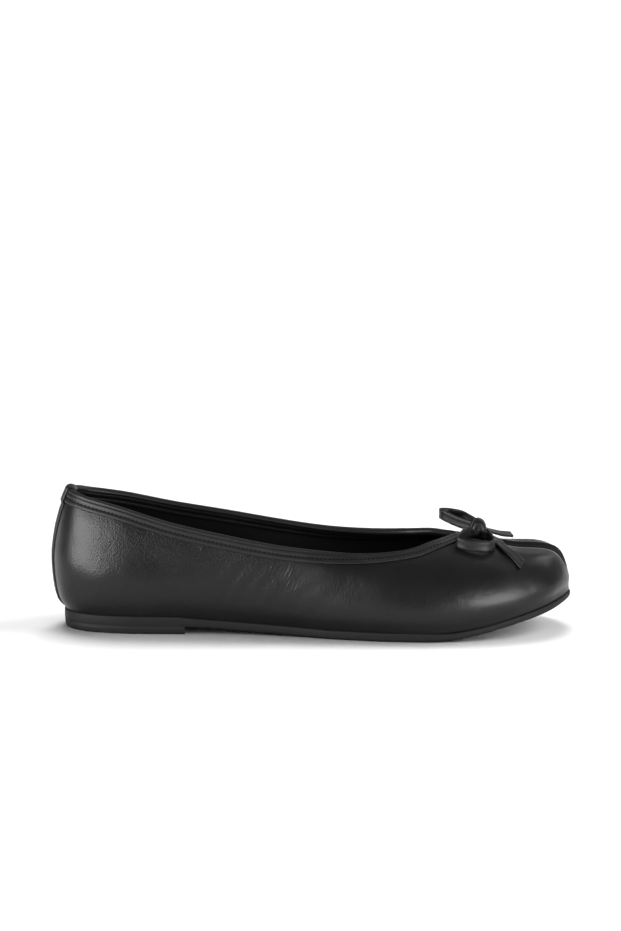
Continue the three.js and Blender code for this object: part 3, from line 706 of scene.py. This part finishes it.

# %% Upper
# Painted shade in a band along the crease beside the toe's seam.
SHADE_BAND, SHADE_SOFT = PINCH_PLACE - 0.9, 1.5
# A painted highlight: a light line just outside the crease beside the toe's seam, in millimetres from the seam.
SEAM_HIGHLIGHT_PLACE, SEAM_HIGHLIGHT_SOFT = PINCH_PLACE + 1.0, 0.5
down_seam = smooth_step(outer_s, 0.16, 0.28) * (1 - smooth_step(outer_s, 0.80, 0.92))
beside_seam = down_seam * np.exp(-((seam_aside - SHADE_BAND) / SHADE_SOFT) ** 4)
# The painted highlight line along the toe's seam.
painted_seam_highlight = smooth_step(outer_s, 0.10, 0.30) * (1 - smooth_step(outer_s, 0.78, 0.92)) * np.exp(
    -((seam_aside - SEAM_HIGHLIGHT_PLACE) / SEAM_HIGHLIGHT_SOFT) ** 2)
# Painted shade in the cleft, at the foot of the upper where it meets the sole, and on the vamp under the bow.
in_cleft = np.clip(-outer_cleft / CLEFT_DEPTH * 1.1, 0, 1)
at_foot = 0.7 * np.exp(-(over_foot / 0.7) ** 2)
coats = {name: painted_layer(outer_form, n) for n, name in enumerate(PAINTED)}
coats["shade"] = np.clip(in_cleft + beside_seam * 0.7 + at_foot + under_bow(outer_form), 0, 1)
# The layer named edge carries the painted highlight line.
coats["edge"] = painted_seam_highlight
bare = np.zeros(inner_skin.shape[:2])
paint = {name: np.concatenate([coat, bare], axis=1).ravel() for name, coat in coats.items()}
sections = np.concatenate([outer_skin, inner_skin], axis=1)
upper_faces = wrap(len(PLACES), sections.shape[1], True)
lined = np.where(upper_faces[:, 0] % sections.shape[1] >= OUTER_ROWS - 1, 1, 0)
piece("upper_leather", sections.reshape(-1, 3), upper_faces, [UPPER_LEATHER, LINING], "upper_leather", "upper",
      lined, paint)

# %% [markdown]
# A band of the same leather is folded over the topline and sewn down. Its outside puffs between the fold at its
# lower edge, the row of stitches and the thin bead along the top. It is lofted like the upper, from one profile:
# each row gives the distance down from the top in shares of the band's width, and the height over the hide.

# %% Binding
BAND_PROFILE = table("down out", [
    (1.00, 0.04),
    (1.01, 0.45),
    (0.97, 0.74),
    (0.90, 0.86),
    (0.76, 0.84),
    (0.66, 0.66),
    (0.61, 0.56),
    (0.56, 0.66),
    (0.46, 0.88),
    (0.34, 0.97),
    (0.24, 0.90),
    (0.19, 0.72),
    (0.14, 0.90),
    (0.07, 1.00),
    (0.00, 0.98),
])
TOP_ROLL = [(0.15, 0.62), (-0.30, 0.95), (-0.85, 1.06), (-1.40, 0.95), (-1.85, 0.62)]
BAND_PLACES = np.arange(0, RING, 0.05)


def top_direction(u):
    """The way that each rib leaves over the topline."""
    ends = form_points(u, np.array([0.97, 1.0]))
    return unit(ends[:, 1] - ends[:, 0])


def band(u, down, out, lift=0.0):
    """Points on the binding: so far down from the topline, so far out from the hide, so far over its cut edge."""
    share = 1 - np.multiply.outer(1 / rib_length(u), np.asarray(down, float))
    up = top_direction(u)[:, None] * np.broadcast_to(lift, (len(u), share.shape[1]))[..., None]
    return skin(u, share, out) + up


BAND_DOWN, BAND_OUT, FIT = BAND_PROFILE["down"] * BINDING_WIDTH, BAND_PROFILE["out"], 0.04
columns = [(BAND_DOWN, BAND_OUT, 0.0)]
columns += [([0.0], out, lift) for out, lift in TOP_ROLL]
columns += [(BAND_DOWN[::-1], -WALL - BAND_OUT[::-1], 0.0), ([BINDING_WIDTH], -WALL - FIT, 0.0),
            ([0.0], -WALL - FIT, 0.0), ([0.0], -WALL / 2, 0.05), ([0.0], FIT, 0.0)]
sections = np.concatenate([band(BAND_PLACES, *column) for column in columns], axis=1)
piece("binding_band", sections.reshape(-1, 3), wrap(*sections.shape[:2], True), [TRIM_LEATHER], "trim_leather",
      "topline_binding")

# %% [markdown]
# Stitches repeat along a path, which is what Geometry Nodes are for. The tree walks a line at an even pitch, puts a
# small spindle of thread at every step, turned along the line, and makes the copies real. A hand-placed array would
# stretch where the line bends.

# %% Stitch tree
def stitch_tree(material):
    tree = bpy.data.node_groups.new("stitch row", "GeometryNodeTree")
    face = tree.interface
    face.new_socket("Line", in_out="INPUT", socket_type="NodeSocketGeometry")
    for name in ("Pitch", "Length", "Thickness"):
        face.new_socket(name, in_out="INPUT", socket_type="NodeSocketFloat")
    face.new_socket("Stitches", in_out="OUTPUT", socket_type="NodeSocketGeometry")
    nodes = tree.nodes
    inlet, outlet = nodes.new("NodeGroupInput"), nodes.new("NodeGroupOutput")
    curve, steps = nodes.new("GeometryNodeMeshToCurve"), nodes.new("GeometryNodeResampleCurve")
    steps.mode = "LENGTH"
    ball, size = nodes.new("GeometryNodeMeshUVSphere"), nodes.new("ShaderNodeCombineXYZ")
    ball.inputs["Segments"].default_value, ball.inputs["Rings"].default_value = 8, 6
    ball.inputs["Radius"].default_value = 0.5
    tangent, turn = nodes.new("GeometryNodeInputTangent"), nodes.new("FunctionNodeAlignRotationToVector")
    turn.axis = "Z"
    copies, real = nodes.new("GeometryNodeInstanceOnPoints"), nodes.new("GeometryNodeRealizeInstances")
    paint = nodes.new("GeometryNodeSetMaterial")
    paint.inputs["Material"].default_value = material
    joins = [
        (inlet, "Line", curve, "Mesh"), (curve, "Curve", steps, "Curve"), (inlet, "Pitch", steps, "Length"),
        (steps, "Curve", copies, "Points"), (ball, "Mesh", copies, "Instance"),
        (tangent, "Tangent", turn, "Vector"), (turn, "Rotation", copies, "Rotation"),
        (inlet, "Thickness", size, "X"), (inlet, "Thickness", size, "Y"), (inlet, "Length", size, "Z"),
        (size, "Vector", copies, "Scale"), (copies, "Instances", real, "Geometry"),
        (real, "Geometry", paint, "Geometry"), (paint, "Geometry", outlet, "Stitches"),
    ]
    for giver, output, taker, entry in joins:
        tree.links.new(giver.outputs[output], taker.inputs[entry])
    return tree


STITCH_TREE = stitch_tree(THREAD)


def stitches(name, rows, **sizes):
    """Rows of stitches along closed lines of points."""
    points, edges = [], []
    for line in rows:
        start, count = len(points), len(line)
        points += ((line + SHIFT) * MM).tolist()
        edges += [(start + i, start + (i + 1) % count) for i in range(count)]
    mesh = bpy.data.meshes.new(name + " line")
    mesh.from_pydata(points, edges, [])
    guide = placed(name + " line", mesh)
    sewing = guide.modifiers.new("sewing", "NODES")
    sewing.node_group = STITCH_TREE
    for item in STITCH_TREE.interface.items_tree:
        if item.in_out == "INPUT" and item.name in sizes:
            sewing[item.identifier] = sizes[item.name] * MM
    graph = bpy.context.evaluated_depsgraph_get()
    sewn = bpy.data.meshes.new_from_object(guide.evaluated_get(graph))
    bpy.data.objects.remove(guide)
    ride(placed(name, sewn))


# %% Stitches of the binding
STITCH_DOWN, STITCH_OUT = 0.61 * BINDING_WIDTH, 0.62
row_places = np.arange(0, RING, 0.04)
stitch_rows = [band(row_places, [STITCH_DOWN], out)[:, 0] for out in (STITCH_OUT, -WALL - STITCH_OUT)]
stitches("binding_stitches", stitch_rows, Pitch=2.1, Length=1.5, Thickness=0.58)

# %% [markdown]
# The heel's seam hides under a strip that runs from the sole up over the binding and down inside. It is a narrow
# loft along the middle of the heel, with rounded edges and a slight crown.

# %% Back strip
STRIP_STEPS = 60


def back_strip():
    """Sections of the strip, each across it at one stop on its way up, over and down."""
    u0 = np.array([0.0])
    length = rib_length(u0)[0]
    start = 1 - BINDING_WIDTH / length
    over = 2 * GAP + BINDING_SKIN
    climb = [(s * start, GAP) for s in np.linspace(0.015, 0.97, STRIP_STEPS)]
    cross = [(start + t * (1 - start), over) for t in (0.0, 0.15, 0.4, 0.7, 1.0)]
    stops = [(s, out, 0.0) for s, out in [*climb, *cross]]
    arc = np.linspace(0.15, math.pi - 0.15, 9)
    middle, half = -WALL / 2, WALL / 2 + over
    stops += [(1.0, middle + half * math.cos(a), over * math.sin(a)) for a in arc]
    stops += [(s, -WALL - over, 0.0) for s in np.linspace(1.0, 1 - STRIP_INSIDE / length, 14)]
    shares = np.linspace(-1, 1, 15)
    crown = 0.75 + 0.25 * (1 - shares ** 2)
    edge = np.sqrt(np.clip(1 - np.abs(shares) ** 8, 0, 1))
    sections = []
    for s, out, lift in stops:
        reach = np.linalg.norm(form_points(np.array([1.0]), [s]) - form_points(u0, [s]))
        u = shares * STRIP_WIDTH / 2 / reach
        up = top_direction(u0)[0] * lift
        side = 1 if out > -WALL / 2 else -1
        rest = form_points(u, [s])[:, 0]
        face = form_normals(u, np.array([s]))[:, 0]
        thick = STRIP_THICKNESS * crown * edge * side
        low = rest + face * (out - 0.25 * side)
        high = rest + face * (out + thick)[:, None]
        if lift:
            turn = unit(np.array([[side * abs(out - middle) / half, lift / over]]))[0]
            high = rest + face * out + (face * turn[0] + top_direction(u0)[0] * turn[1]) * np.abs(thick)[:, None]
        sections.append(np.concatenate([high, low[::-1]]) + up)
    return sections


piece("back_strip", *bar(back_strip()), [TRIM_LEATHER], "trim_leather", "backstrip")

# %% [markdown]
# The sole is one moulding: a thin rubber plate with its own outline, a low lift under the heel, a raised waist and a
# toe that springs up. Its edges are rounded, and a shallow channel runs round its underside.

# %% Sole and heel
EDGE_STEP = 0.01


def inward_at(u):
    """The level direction from the sole's edge into the shoe."""
    tangent = unit(round_ring(EDGE_POINTS, u + EDGE_STEP) - round_ring(EDGE_POINTS, u - EDGE_STEP))
    return np.stack([-tangent[:, 1], tangent[:, 0], tangent[:, 2]], axis=1)


def inset_edge(u, inset, height):
    """The sole's edge moved in, at a height that follows its place along the shoe."""
    point = round_ring(EDGE_POINTS, u)
    point = point + inward_at(u) * np.broadcast_to(inset, len(point))[:, None]
    point[:, 2] = height(point[:, 0])
    return point


SOLE_PLACES = np.arange(0, RING, 0.0625)
SOLE_PLACES_X = round_ring(EDGE_POINTS, SOLE_PLACES)[:, 0]


def round_edge(radius, steps=5):
    """Insets and heights of a quarter round, from the flat face to the side."""
    angles = np.linspace(0, math.pi / 2, steps)
    return [(radius * (1 - math.sin(a)), radius * (1 - math.cos(a))) for a in angles]


def sole_layers():
    """Rings of the sole's skin from the middle of its underside round the edge to its top."""
    under = [(16, 0.0), (8, 0.0), (5.4, 0.0), (5.0, 0.35), (4.2, 0.35), (3.8, 0.0)]
    rings = [inset_edge(SOLE_PLACES, inset, lambda x, up=up: sole_bottom(x) + up) for inset, up in under]
    over_heel = 1 - smooth_step(SOLE_PLACES_X, SOLE_BACK + HEEL_LENGTH - 2, SOLE_BACK + HEEL_LENGTH + 6)
    tight = 1 - 0.85 * over_heel    # over the heel lift the edge stays nearly square, as one moulding
    rings += [inset_edge(SOLE_PLACES, inset * tight, lambda x, up=up: sole_bottom(x) + up * tight)
              for inset, up in round_edge(SOLE_EDGE_ROUND)]
    rings += [inset_edge(SOLE_PLACES, inset, lambda x, up=up: sole_top(x) - up)
              for inset, up in round_edge(SOLE_EDGE_ROUND * 0.6)[::-1]]
    rings += [inset_edge(SOLE_PLACES, inset, lambda x, up=up: sole_top(x) + up)
              for inset, up in ((1.6, 0.05), (2.4, 0.28), (9.0, 0.28))]
    return rings


def corners(*points):
    """A face through the points that differ, or none if they are fewer than three."""
    face = list(dict.fromkeys(points))
    return [face] if len(face) > 2 else []


def lace(n):
    """Faces across a ring of n points, from side to side."""
    return [face for j in range(n // 2) for face in corners(j, j + 1, n - j - 1, (n - j) % n)]


def laced(rings):
    """Points and faces of a stack of rings, closed at both ends."""
    n = len(rings[0])
    faces = wrap(len(rings), n, False).tolist()
    last = (len(rings) - 1) * n
    for low in lace(n):
        faces += [low[::-1], [last + v for v in low]]
    return np.concatenate(rings), faces


piece("sole_plate", *laced(sole_layers()), [RUBBER], "sole_rubber", "outsole")

# %% Heel lift
HEEL_ROUND, HEEL_SEAM = 0.6, 0.3


def breast_place(side):
    """Where the heel's flat front meets the edge of one side."""
    places = np.linspace(0, TOE_RIB, 4000)
    x = round_ring(EDGE_POINTS, side * places)[:, 0]
    return side * float(np.interp(SOLE_BACK + HEEL_LENGTH, x, places))


def heel_layers():
    """Rings of the lift, each the sole's edge round the heel and a hollow breast across."""
    steps, breast_steps = 90, 24
    lateral, medial = breast_place(1), breast_place(-1)
    rings = []
    low = [(9, 0.0), (3, 0.0), *round_edge(HEEL_ROUND)]
    profile = [(HEEL_INSET + HEEL_TAPER * 0.25 + inset, up) for inset, up in low]
    profile += [(HEEL_INSET, HEEL_LIFT / 2), (0.0, HEEL_LIFT + GAP + HEEL_SEAM)]
    for inset, up in profile:
        height = lambda x, up=up: np.full_like(x, up)
        first = inset_edge(lateral * np.linspace(0, 1, steps), inset, height)
        second = inset_edge(medial * np.linspace(0, 1, steps), inset, height)[:0:-1]
        share = np.linspace(0, 1, breast_steps + 1)[1:-1, None]
        breast = first[-1] * (1 - share) + second[0] * share
        breast[:, 0] -= BREAST_HOLLOW * np.sin(math.pi * share[:, 0])
        pull = min(inset, 3.0) * 0.8
        ring = np.concatenate([first, breast, second])
        ring[:, 0] = np.minimum(ring[:, 0], SOLE_BACK + HEEL_LENGTH + 1 - pull)
        rings.append(ring)
    return rings


piece("heel_lift", *laced(heel_layers()), [RUBBER], "sole_rubber", "heel")

# %% [markdown]
# Inside lies a thin padded sock in black. It is cut to the inner face of the upper and laced across with enough
# rows to hold a soft hollow under the heel.

# %% Insole
def inner_outline(height, clearance):
    """Where the upper's inner face stands at some height over the sole, moved in a little."""
    places = np.arange(0, RING, 0.125)
    walls = skin(places, np.linspace(0, 0.6, 60), -WALL)
    over = walls[..., 2] - sole_top(walls[..., 0]) - height
    spots = np.array([[np.interp(0, o, w[:, axis]) for axis in range(3)] for o, w in zip(over, walls)])
    return spots + inward_at(places) * clearance


INSOLE_ACROSS, INSOLE_HOLLOW = 20, 0.9


def insole():
    """Points and faces of the sock: its side from rings, its underside laced and its top in rows."""
    low, high = inner_outline(GAP, 0.3), inner_outline(GAP + INSOLE_THICKNESS, 0.25)
    n, across = len(low), INSOLE_ACROSS
    rings = [low * (1, 1, 0) + [0, 0, 1] * (sole_top(low[:, 0]) + 0.1)[:, None]]
    to_middle = unit((high.mean(axis=0) - high) * (0, 1, 0) + [0, 1e-9, 0])
    for inset, up in [(0.0, -0.8), (0.15, -0.35), (0.5, -0.1), (1.2, 0.0)]:
        ring = high + to_middle * inset
        ring[:, 2] = sole_top(ring[:, 0]) + GAP + INSOLE_THICKNESS + up
        rings.append(ring)
    points, faces = [*rings], wrap(len(rings), n, False).tolist()
    faces += [face[::-1] for face in lace(n)]
    base, rim, count = (len(rings) - 1) * n, rings[-1], len(rings) * n
    rows = [[base] * (across + 1)]
    for j in range(1, n // 2):
        a, b = rim[j], rim[n - j]
        share = np.linspace(0, 1, across + 1)[1:-1, None]
        line = a * (1 - share) + b * share
        hollow = INSOLE_HOLLOW * np.sin(math.pi * share[:, 0]) * (1 - smooth_step(line[:, 0], 50, 90))
        line[:, 2] = sole_top(line[:, 0]) + GAP + INSOLE_THICKNESS - hollow
        points.append(line)
        rows.append([base + j, *range(count, count + across - 1), base + n - j])
        count += across - 1
    rows.append([base + n // 2] * (across + 1))
    for first, second in zip(rows[:-1], rows[1:]):
        for k in range(across):
            faces += corners(first[k], second[k], second[k + 1], first[k + 1])
    return np.concatenate(points), faces


piece("insole_sock", *insole(), [LINING], "lining", "insole")

# %% [markdown]
# The bow is one flat strap, folded lengthwise so that both edges are rounded and a faint trough runs down its face.
# It is tied on the vamp: both loops stand on their edges, one towards the outer side and one up and back, and two
# tails point to the toe. Each stretch follows a short table of places in shares of the bow's reach.

# %% Bow paths
LATERAL_LOOP = table("forward inner up", [
    (0.02, -0.12, 0.13), (-0.13, -0.21, 0.05), (-0.30, -0.52, -0.01), (-0.47, -0.85, -0.06),
    (-0.55, -1.08, -0.12), (-0.38, -1.20, -0.13), (-0.03, -1.22, -0.15), (0.24, -1.13, -0.17),
    (0.38, -0.92, -0.15), (0.34, -0.60, -0.10), (0.26, -0.34, -0.02), (0.13, -0.21, 0.02),
    (0.05, -0.12, 0.11)])
MEDIAL_LOOP = table("forward inner up", [
    (-0.16, 0.19, 0.10), (-0.48, 0.37, 0.17), (-0.71, 0.53, 0.24), (-0.90, 0.68, 0.31), (-0.95, 0.84, 0.32),
    (-0.81, 0.97, 0.30), (-0.60, 0.97, 0.28), (-0.39, 0.80, 0.26), (-0.22, 0.52, 0.22), (-0.02, 0.21, 0.16)])
LATERAL_TAIL = table("forward inner up", [
    (0.33, -0.03, -0.05), (0.45, -0.24, -0.10), (0.53, -0.53, -0.20), (0.67, -0.83, -0.30),
    (0.84, -1.09, -0.45), (1.04, -1.33, -0.68)])
MEDIAL_TAIL = table("forward inner up", [
    (0.21, 0.13, 0.08), (0.40, 0.28, 0.00), (0.60, 0.42, -0.07), (0.83, 0.59, -0.12)])


def vamp_height(x, y):
    """The height of the upper, or of the binding on it, over a place near the throat, found by Newton's steps."""
    step_u, step_s = 0.02, 0.005
    u, s = float(TOE_RIB), 0.7
    for _ in range(30):
        at = form_points(np.array([u, u + step_u]), np.array([s - step_s, s]))
        spot, ring_way, rib_way = at[0, 1], (at[1, 1] - at[0, 1]) / step_u, (at[0, 1] - at[0, 0]) / step_s
        det = ring_way[0] * rib_way[1] - ring_way[1] * rib_way[0]
        dx, dy = x - spot[0], y - spot[1]
        u += float(np.clip((dx * rib_way[1] - dy * rib_way[0]) / det, -0.5, 0.5))
        s += float(np.clip((ring_way[0] * dy - ring_way[1] * dx) / det, -0.1, 0.1))
        u, s = min(max(u, TOE_RIB - 4), TOE_RIB + 4), min(max(s, 0.1), 0.995)
    length = rib_length([u])[0]
    cover = GAP + BINDING_SKIN if s > 1 - (BINDING_WIDTH + 1.5 * STRAP_THICKNESS) / length else 0
    lip = LIP_HEIGHT if abs(y) < 2 * CLEFT_HALF_WIDTH else 0
    return form_points(np.array([u]), np.array([s]))[0, 0, 2] + lip + cover


KNOT = np.array([throat[0] + BOW_SETBACK, throat[1], 0.0])
KNOT[2] = vamp_height(KNOT[0], KNOT[1]) + GAP


def bow_path(rows, reach, half_height):
    """The strap's middle line, lifted where the vamp is higher than the table says."""
    spots = []
    for forward, inner, up in zip(*rows.values()):
        x, y = KNOT[0] + forward * reach, KNOT[1] + inner * reach
        spots.append((x, y, max(KNOT[2] + up * reach, vamp_height(x, y) + GAP) + half_height))
    return np.array(spots)


print("knot at", KNOT.round(1))

# %% Straps of the bow
FACE_TROUGH, TROUGH_SOFT = 0.09, 0.45


def strap_section(across, normal, width=STRAP_WIDTH):
    """The strap's cut: rounded edges and a faint trough down each face."""
    flat = np.linspace(-1, 1, 9)
    trough = FACE_TROUGH * np.exp(-(flat / TROUGH_SOFT) ** 2)
    edge = STRAP_THICKNESS / 2
    run = (width / 2 - edge) * flat
    face = [(w, edge - t) for w, t in zip(run, trough)]
    bend = [(width / 2 - edge + edge * math.sin(a), edge * math.cos(a)) for a in np.linspace(0, math.pi, 7)[1:-1]]
    outline = face + bend + [(-w, -t) for w, t in face] + [(-w, -t) for w, t in bend]
    return np.array([across * w + normal * t for w, t in outline])


def strap(path, width_at, steps, lead_in=0.0, lead_out=0.0, cut=0.0, pinched=0.0):
    """Sections of a strap along a path. The leads run on into the knot, which pinches the edge above down,
    and cut slants the free end."""
    line = smooth_through(path[None])[0]
    if lead_in:
        line = np.concatenate([[line[0] - unit(line[1] - line[0]) * lead_in], line])
    if lead_out:
        line = np.concatenate([line, [line[-1] + unit(line[-1] - line[-2]) * lead_out]])
    spots = walk(line[None], np.linspace(0, 1, steps))[0]
    tangents = unit(np.gradient(spots, axis=0))
    sections = []
    for n, (spot, tangent) in enumerate(zip(spots, tangents)):
        across = width_at(tangent, spot)
        normal = unit(np.cross(tangent, across))
        section = strap_section(across, normal)
        share = n / (steps - 1)
        held = pinched * (1 - smooth_step(min(share, 1 - share), 0.02, 0.17))
        section -= across * ((section @ across + STRAP_WIDTH / 2) * held)[:, None]
        slant = cut * smooth_step(share, 0.8, 1.0)
        section += tangent * (section @ across)[:, None] * slant
        sections.append(spot + section)
    return sections


UP = np.array([0.0, 0.0, 1.0])


def on_edge(tangent, _spot):
    return unit(UP - tangent * tangent[2])


def level(tangent, _spot):
    return unit(np.cross(tangent, UP))


def leaning(tangent, spot):
    return unit(level(tangent, spot) - UP * TAIL_LEAN)


def along_vamp(tangent, spot):
    across = level(tangent, spot) * STRAP_WIDTH / 2
    left = vamp_height(spot[0] + across[0], spot[1] + across[1])
    right = vamp_height(spot[0] - across[0], spot[1] - across[1])
    return unit(across + UP * (left - right) / 2)


STAND, LIE = STRAP_WIDTH / 2, STRAP_THICKNESS / 2
near_loop, far_loop = bow_path(LATERAL_LOOP, LOOP_REACH, STAND), bow_path(MEDIAL_LOOP, LOOP_REACH, STAND)
near_tail = bow_path(LATERAL_TAIL, TAIL_REACH, LIE + GAP)
far_tail = bow_path(MEDIAL_TAIL, TAIL_REACH, LIE + STAND * TAIL_LEAN)
bow_straps = {
    "bow_loop_near": ("bow_loop_lateral", strap(near_loop, on_edge, 110, lead_in=0.8, lead_out=0.8, pinched=0.5)),
    "bow_loop_far": ("bow_loop_medial", strap(far_loop, on_edge, 100, lead_in=1.6, lead_out=1.6)),
    "bow_tail_near": ("bow_tail_lateral", strap(near_tail, along_vamp, 40, lead_in=1.4, cut=0.45)),
    "bow_tail_far": ("bow_tail_medial", strap(far_tail, leaning, 26, lead_in=0.6, cut=-0.3)),
}
for name, (node, sections) in bow_straps.items():
    piece(name, *bar(sections), [TRIM_LEATHER], "trim_leather", node)

# %% [markdown]
# The knot is the same strap, wrapped once over the place where the loops meet. A core of crumpled leather fills it.
# The wrap is a strap along an arch. The core is a round-topped lump, a little fuller than the arch, with a fold that
# runs slantwise across it.

# %% Knot
KNOT_SHOULDERS, WRAP_START = 0.6, 0.4
CORE_OVER, CORE_ROUND, FOLD_DEPTH, FOLD_SOFT, FOLD_SLANT = 0.35, 0.42, 0.13, 0.2, 1.1


def knot():
    """Points and faces of the wrap and of the core in it."""
    half_length, top = KNOT_LENGTH / 2 - STRAP_THICKNESS / 2, KNOT_HEIGHT - STRAP_THICKNESS / 2
    angles = [a for a in np.linspace(-0.10, math.pi + 0.10, 33) if math.sin(a) > 0]
    arch = np.array([
        (KNOT[0] + half_length * math.cos(a), KNOT[1],
         KNOT[2] + WRAP_START + (top - WRAP_START) * math.sin(a) ** KNOT_SHOULDERS) for a in angles])
    tangents = unit(np.gradient(arch, axis=0))
    across = np.array([0.0, 1.0, 0.0])
    points, faces = bar([
        spot + strap_section(across, unit(np.cross(tangent, across)), KNOT_DEPTH)
        for spot, tangent in zip(arch, tangents)])
    core_sections = []
    for side in np.linspace(-1, 1, 25):
        full = 1 - CORE_ROUND * side ** 6
        lump = []
        for a in np.linspace(0, math.pi, 37):
            size = full * (1 - FOLD_DEPTH * math.exp(-((a - 1.5 + FOLD_SLANT * side) / FOLD_SOFT) ** 2))
            lump.append((KNOT[0] + size * (half_length + CORE_OVER) * math.cos(a),
                         KNOT[1] + side * (KNOT_DEPTH / 2 + 0.15),
                         KNOT[2] + 0.1 + size * (top + 0.1) * math.sin(a) ** KNOT_SHOULDERS))
        core_sections.append(np.array(lump))
    core_points, core_faces = bar(core_sections)
    if enclosed(points, faces) * enclosed(core_points, core_faces) < 0:
        core_faces = [face[::-1] for face in core_faces]
    faces += [[v + len(points) for v in face] for face in core_faces]
    return np.concatenate([points, core_points]), faces


piece("bow_knot_wrap", *knot(), [TRIM_LEATHER], "trim_leather", "bow_knot")

# %% [markdown]
# Last comes the studio. The floor is a wide pale sheet, so its far edge is never seen. A black shoe shows its form
# only by what it mirrors. The photograph tells where its soft boxes stood: a bright patch on the heel quarter comes
# from the front left and one on the toe's side from the front right, both low. Each box below is placed by the
# direction it is mirrored from. The boxes light only the gloss, so the floor stays an even white. Wide suns, which
# the gloss does not show, give the floor its white and its soft shadows.

# %% Floor
HALF_FLOOR, FLOOR_WHITE = 30, 0.9
floor_mesh = bpy.data.meshes.new("studio floor")
floor_corners = [(-1, -1), (1, -1), (1, 1), (-1, 1)]
floor_mesh.from_pydata([(x * HALF_FLOOR, y * HALF_FLOOR, 0) for x, y in floor_corners], [], [(0, 1, 2, 3)])
floor = placed("studio floor", floor_mesh)
pale = Finish("pale floor")
pale.set(Base_Color=(FLOOR_WHITE,) * 3 + (1,), Roughness=0.9, Specular_IOR_Level=0.1)
floor_mesh.materials.append(pale.material)

# %% Lights
SHOE_MIDDLE = Vector((0, 0, 0.03))


def lamp(name, kind, azimuth, elevation, distance=1.0):
    """A lamp turned to the shoe. Azimuth 0 is the front, 90 the toe's side, in degrees."""
    made = placed(name, bpy.data.lights.new(name, kind))
    turn, rise = math.radians(azimuth), math.radians(elevation)
    way = Vector((math.sin(turn) * math.cos(rise), -math.cos(turn) * math.cos(rise), math.sin(rise)))
    made.location = SHOE_MIDDLE + way * distance
    made.rotation_euler = (-way).to_track_quat("-Z", "Y").to_euler()
    return made


BOXES = [
    # azimuth, elevation, distance, width, height, radiance
    ("left box", -54, 14, 1.5, 1.18, 0.74, 12.5),
    ("right box", 43, 2, 1.5, 0.92, 0.32, 23.5),
    ("toe box", 120, 42, 1.5, 1.1, 0.70, 2.0),
    ("toe back box", 158, 10, 1.6, 0.8, 0.6, 0.6),
]
for name, azimuth, elevation, distance, width, height, radiance in BOXES:
    box = lamp(name, "AREA", azimuth, elevation, distance)
    box.data.shape, box.data.size, box.data.size_y = "RECTANGLE", width, height
    box.data.energy = radiance * math.pi * width * height
    box.visible_diffuse = False

SUNS = [
    # azimuth, elevation, spread in degrees, share of the floor's white
    ("roof", 185, 61, 32, 0.68),
    ("toe side", 100, 28, 50, 0.42),
    ("fill", 15, 36, 60, 0.12),
]
for name, azimuth, elevation, spread, share in SUNS:
    sun = lamp(name, "SUN", azimuth, elevation)
    sun.data.angle = math.radians(spread)
    sun.data.energy = share * math.pi / FLOOR_WHITE / math.sin(math.radians(elevation))
    sun.visible_glossy = False
print("lights:", [light[0] for light in BOXES + SUNS])

# %% World
WORLD_WHITE, WORLD_MIRRORED = 0.11, 0.27
world = bpy.data.worlds.new("white studio")
bpy.context.scene.world = world
world.use_nodes = True
sky = world.node_tree
sky_light = sky.nodes["Background"]
sky_light.inputs["Color"].default_value = (1, 1, 1, 1)
ray = sky.nodes.new("ShaderNodeLightPath")
strength = sky.nodes.new("ShaderNodeMapRange")
strength.inputs["To Min"].default_value = WORLD_WHITE
strength.inputs["To Max"].default_value = WORLD_MIRRORED
sky.links.new(ray.outputs["Is Glossy Ray"], strength.inputs["Value"])
sky.links.new(strength.outputs["Result"], sky_light.inputs["Strength"])
bpy.context.scene.view_settings.view_transform = "Standard"
print("world:", WORLD_WHITE, "on the floor", WORLD_MIRRORED, "in the gloss")
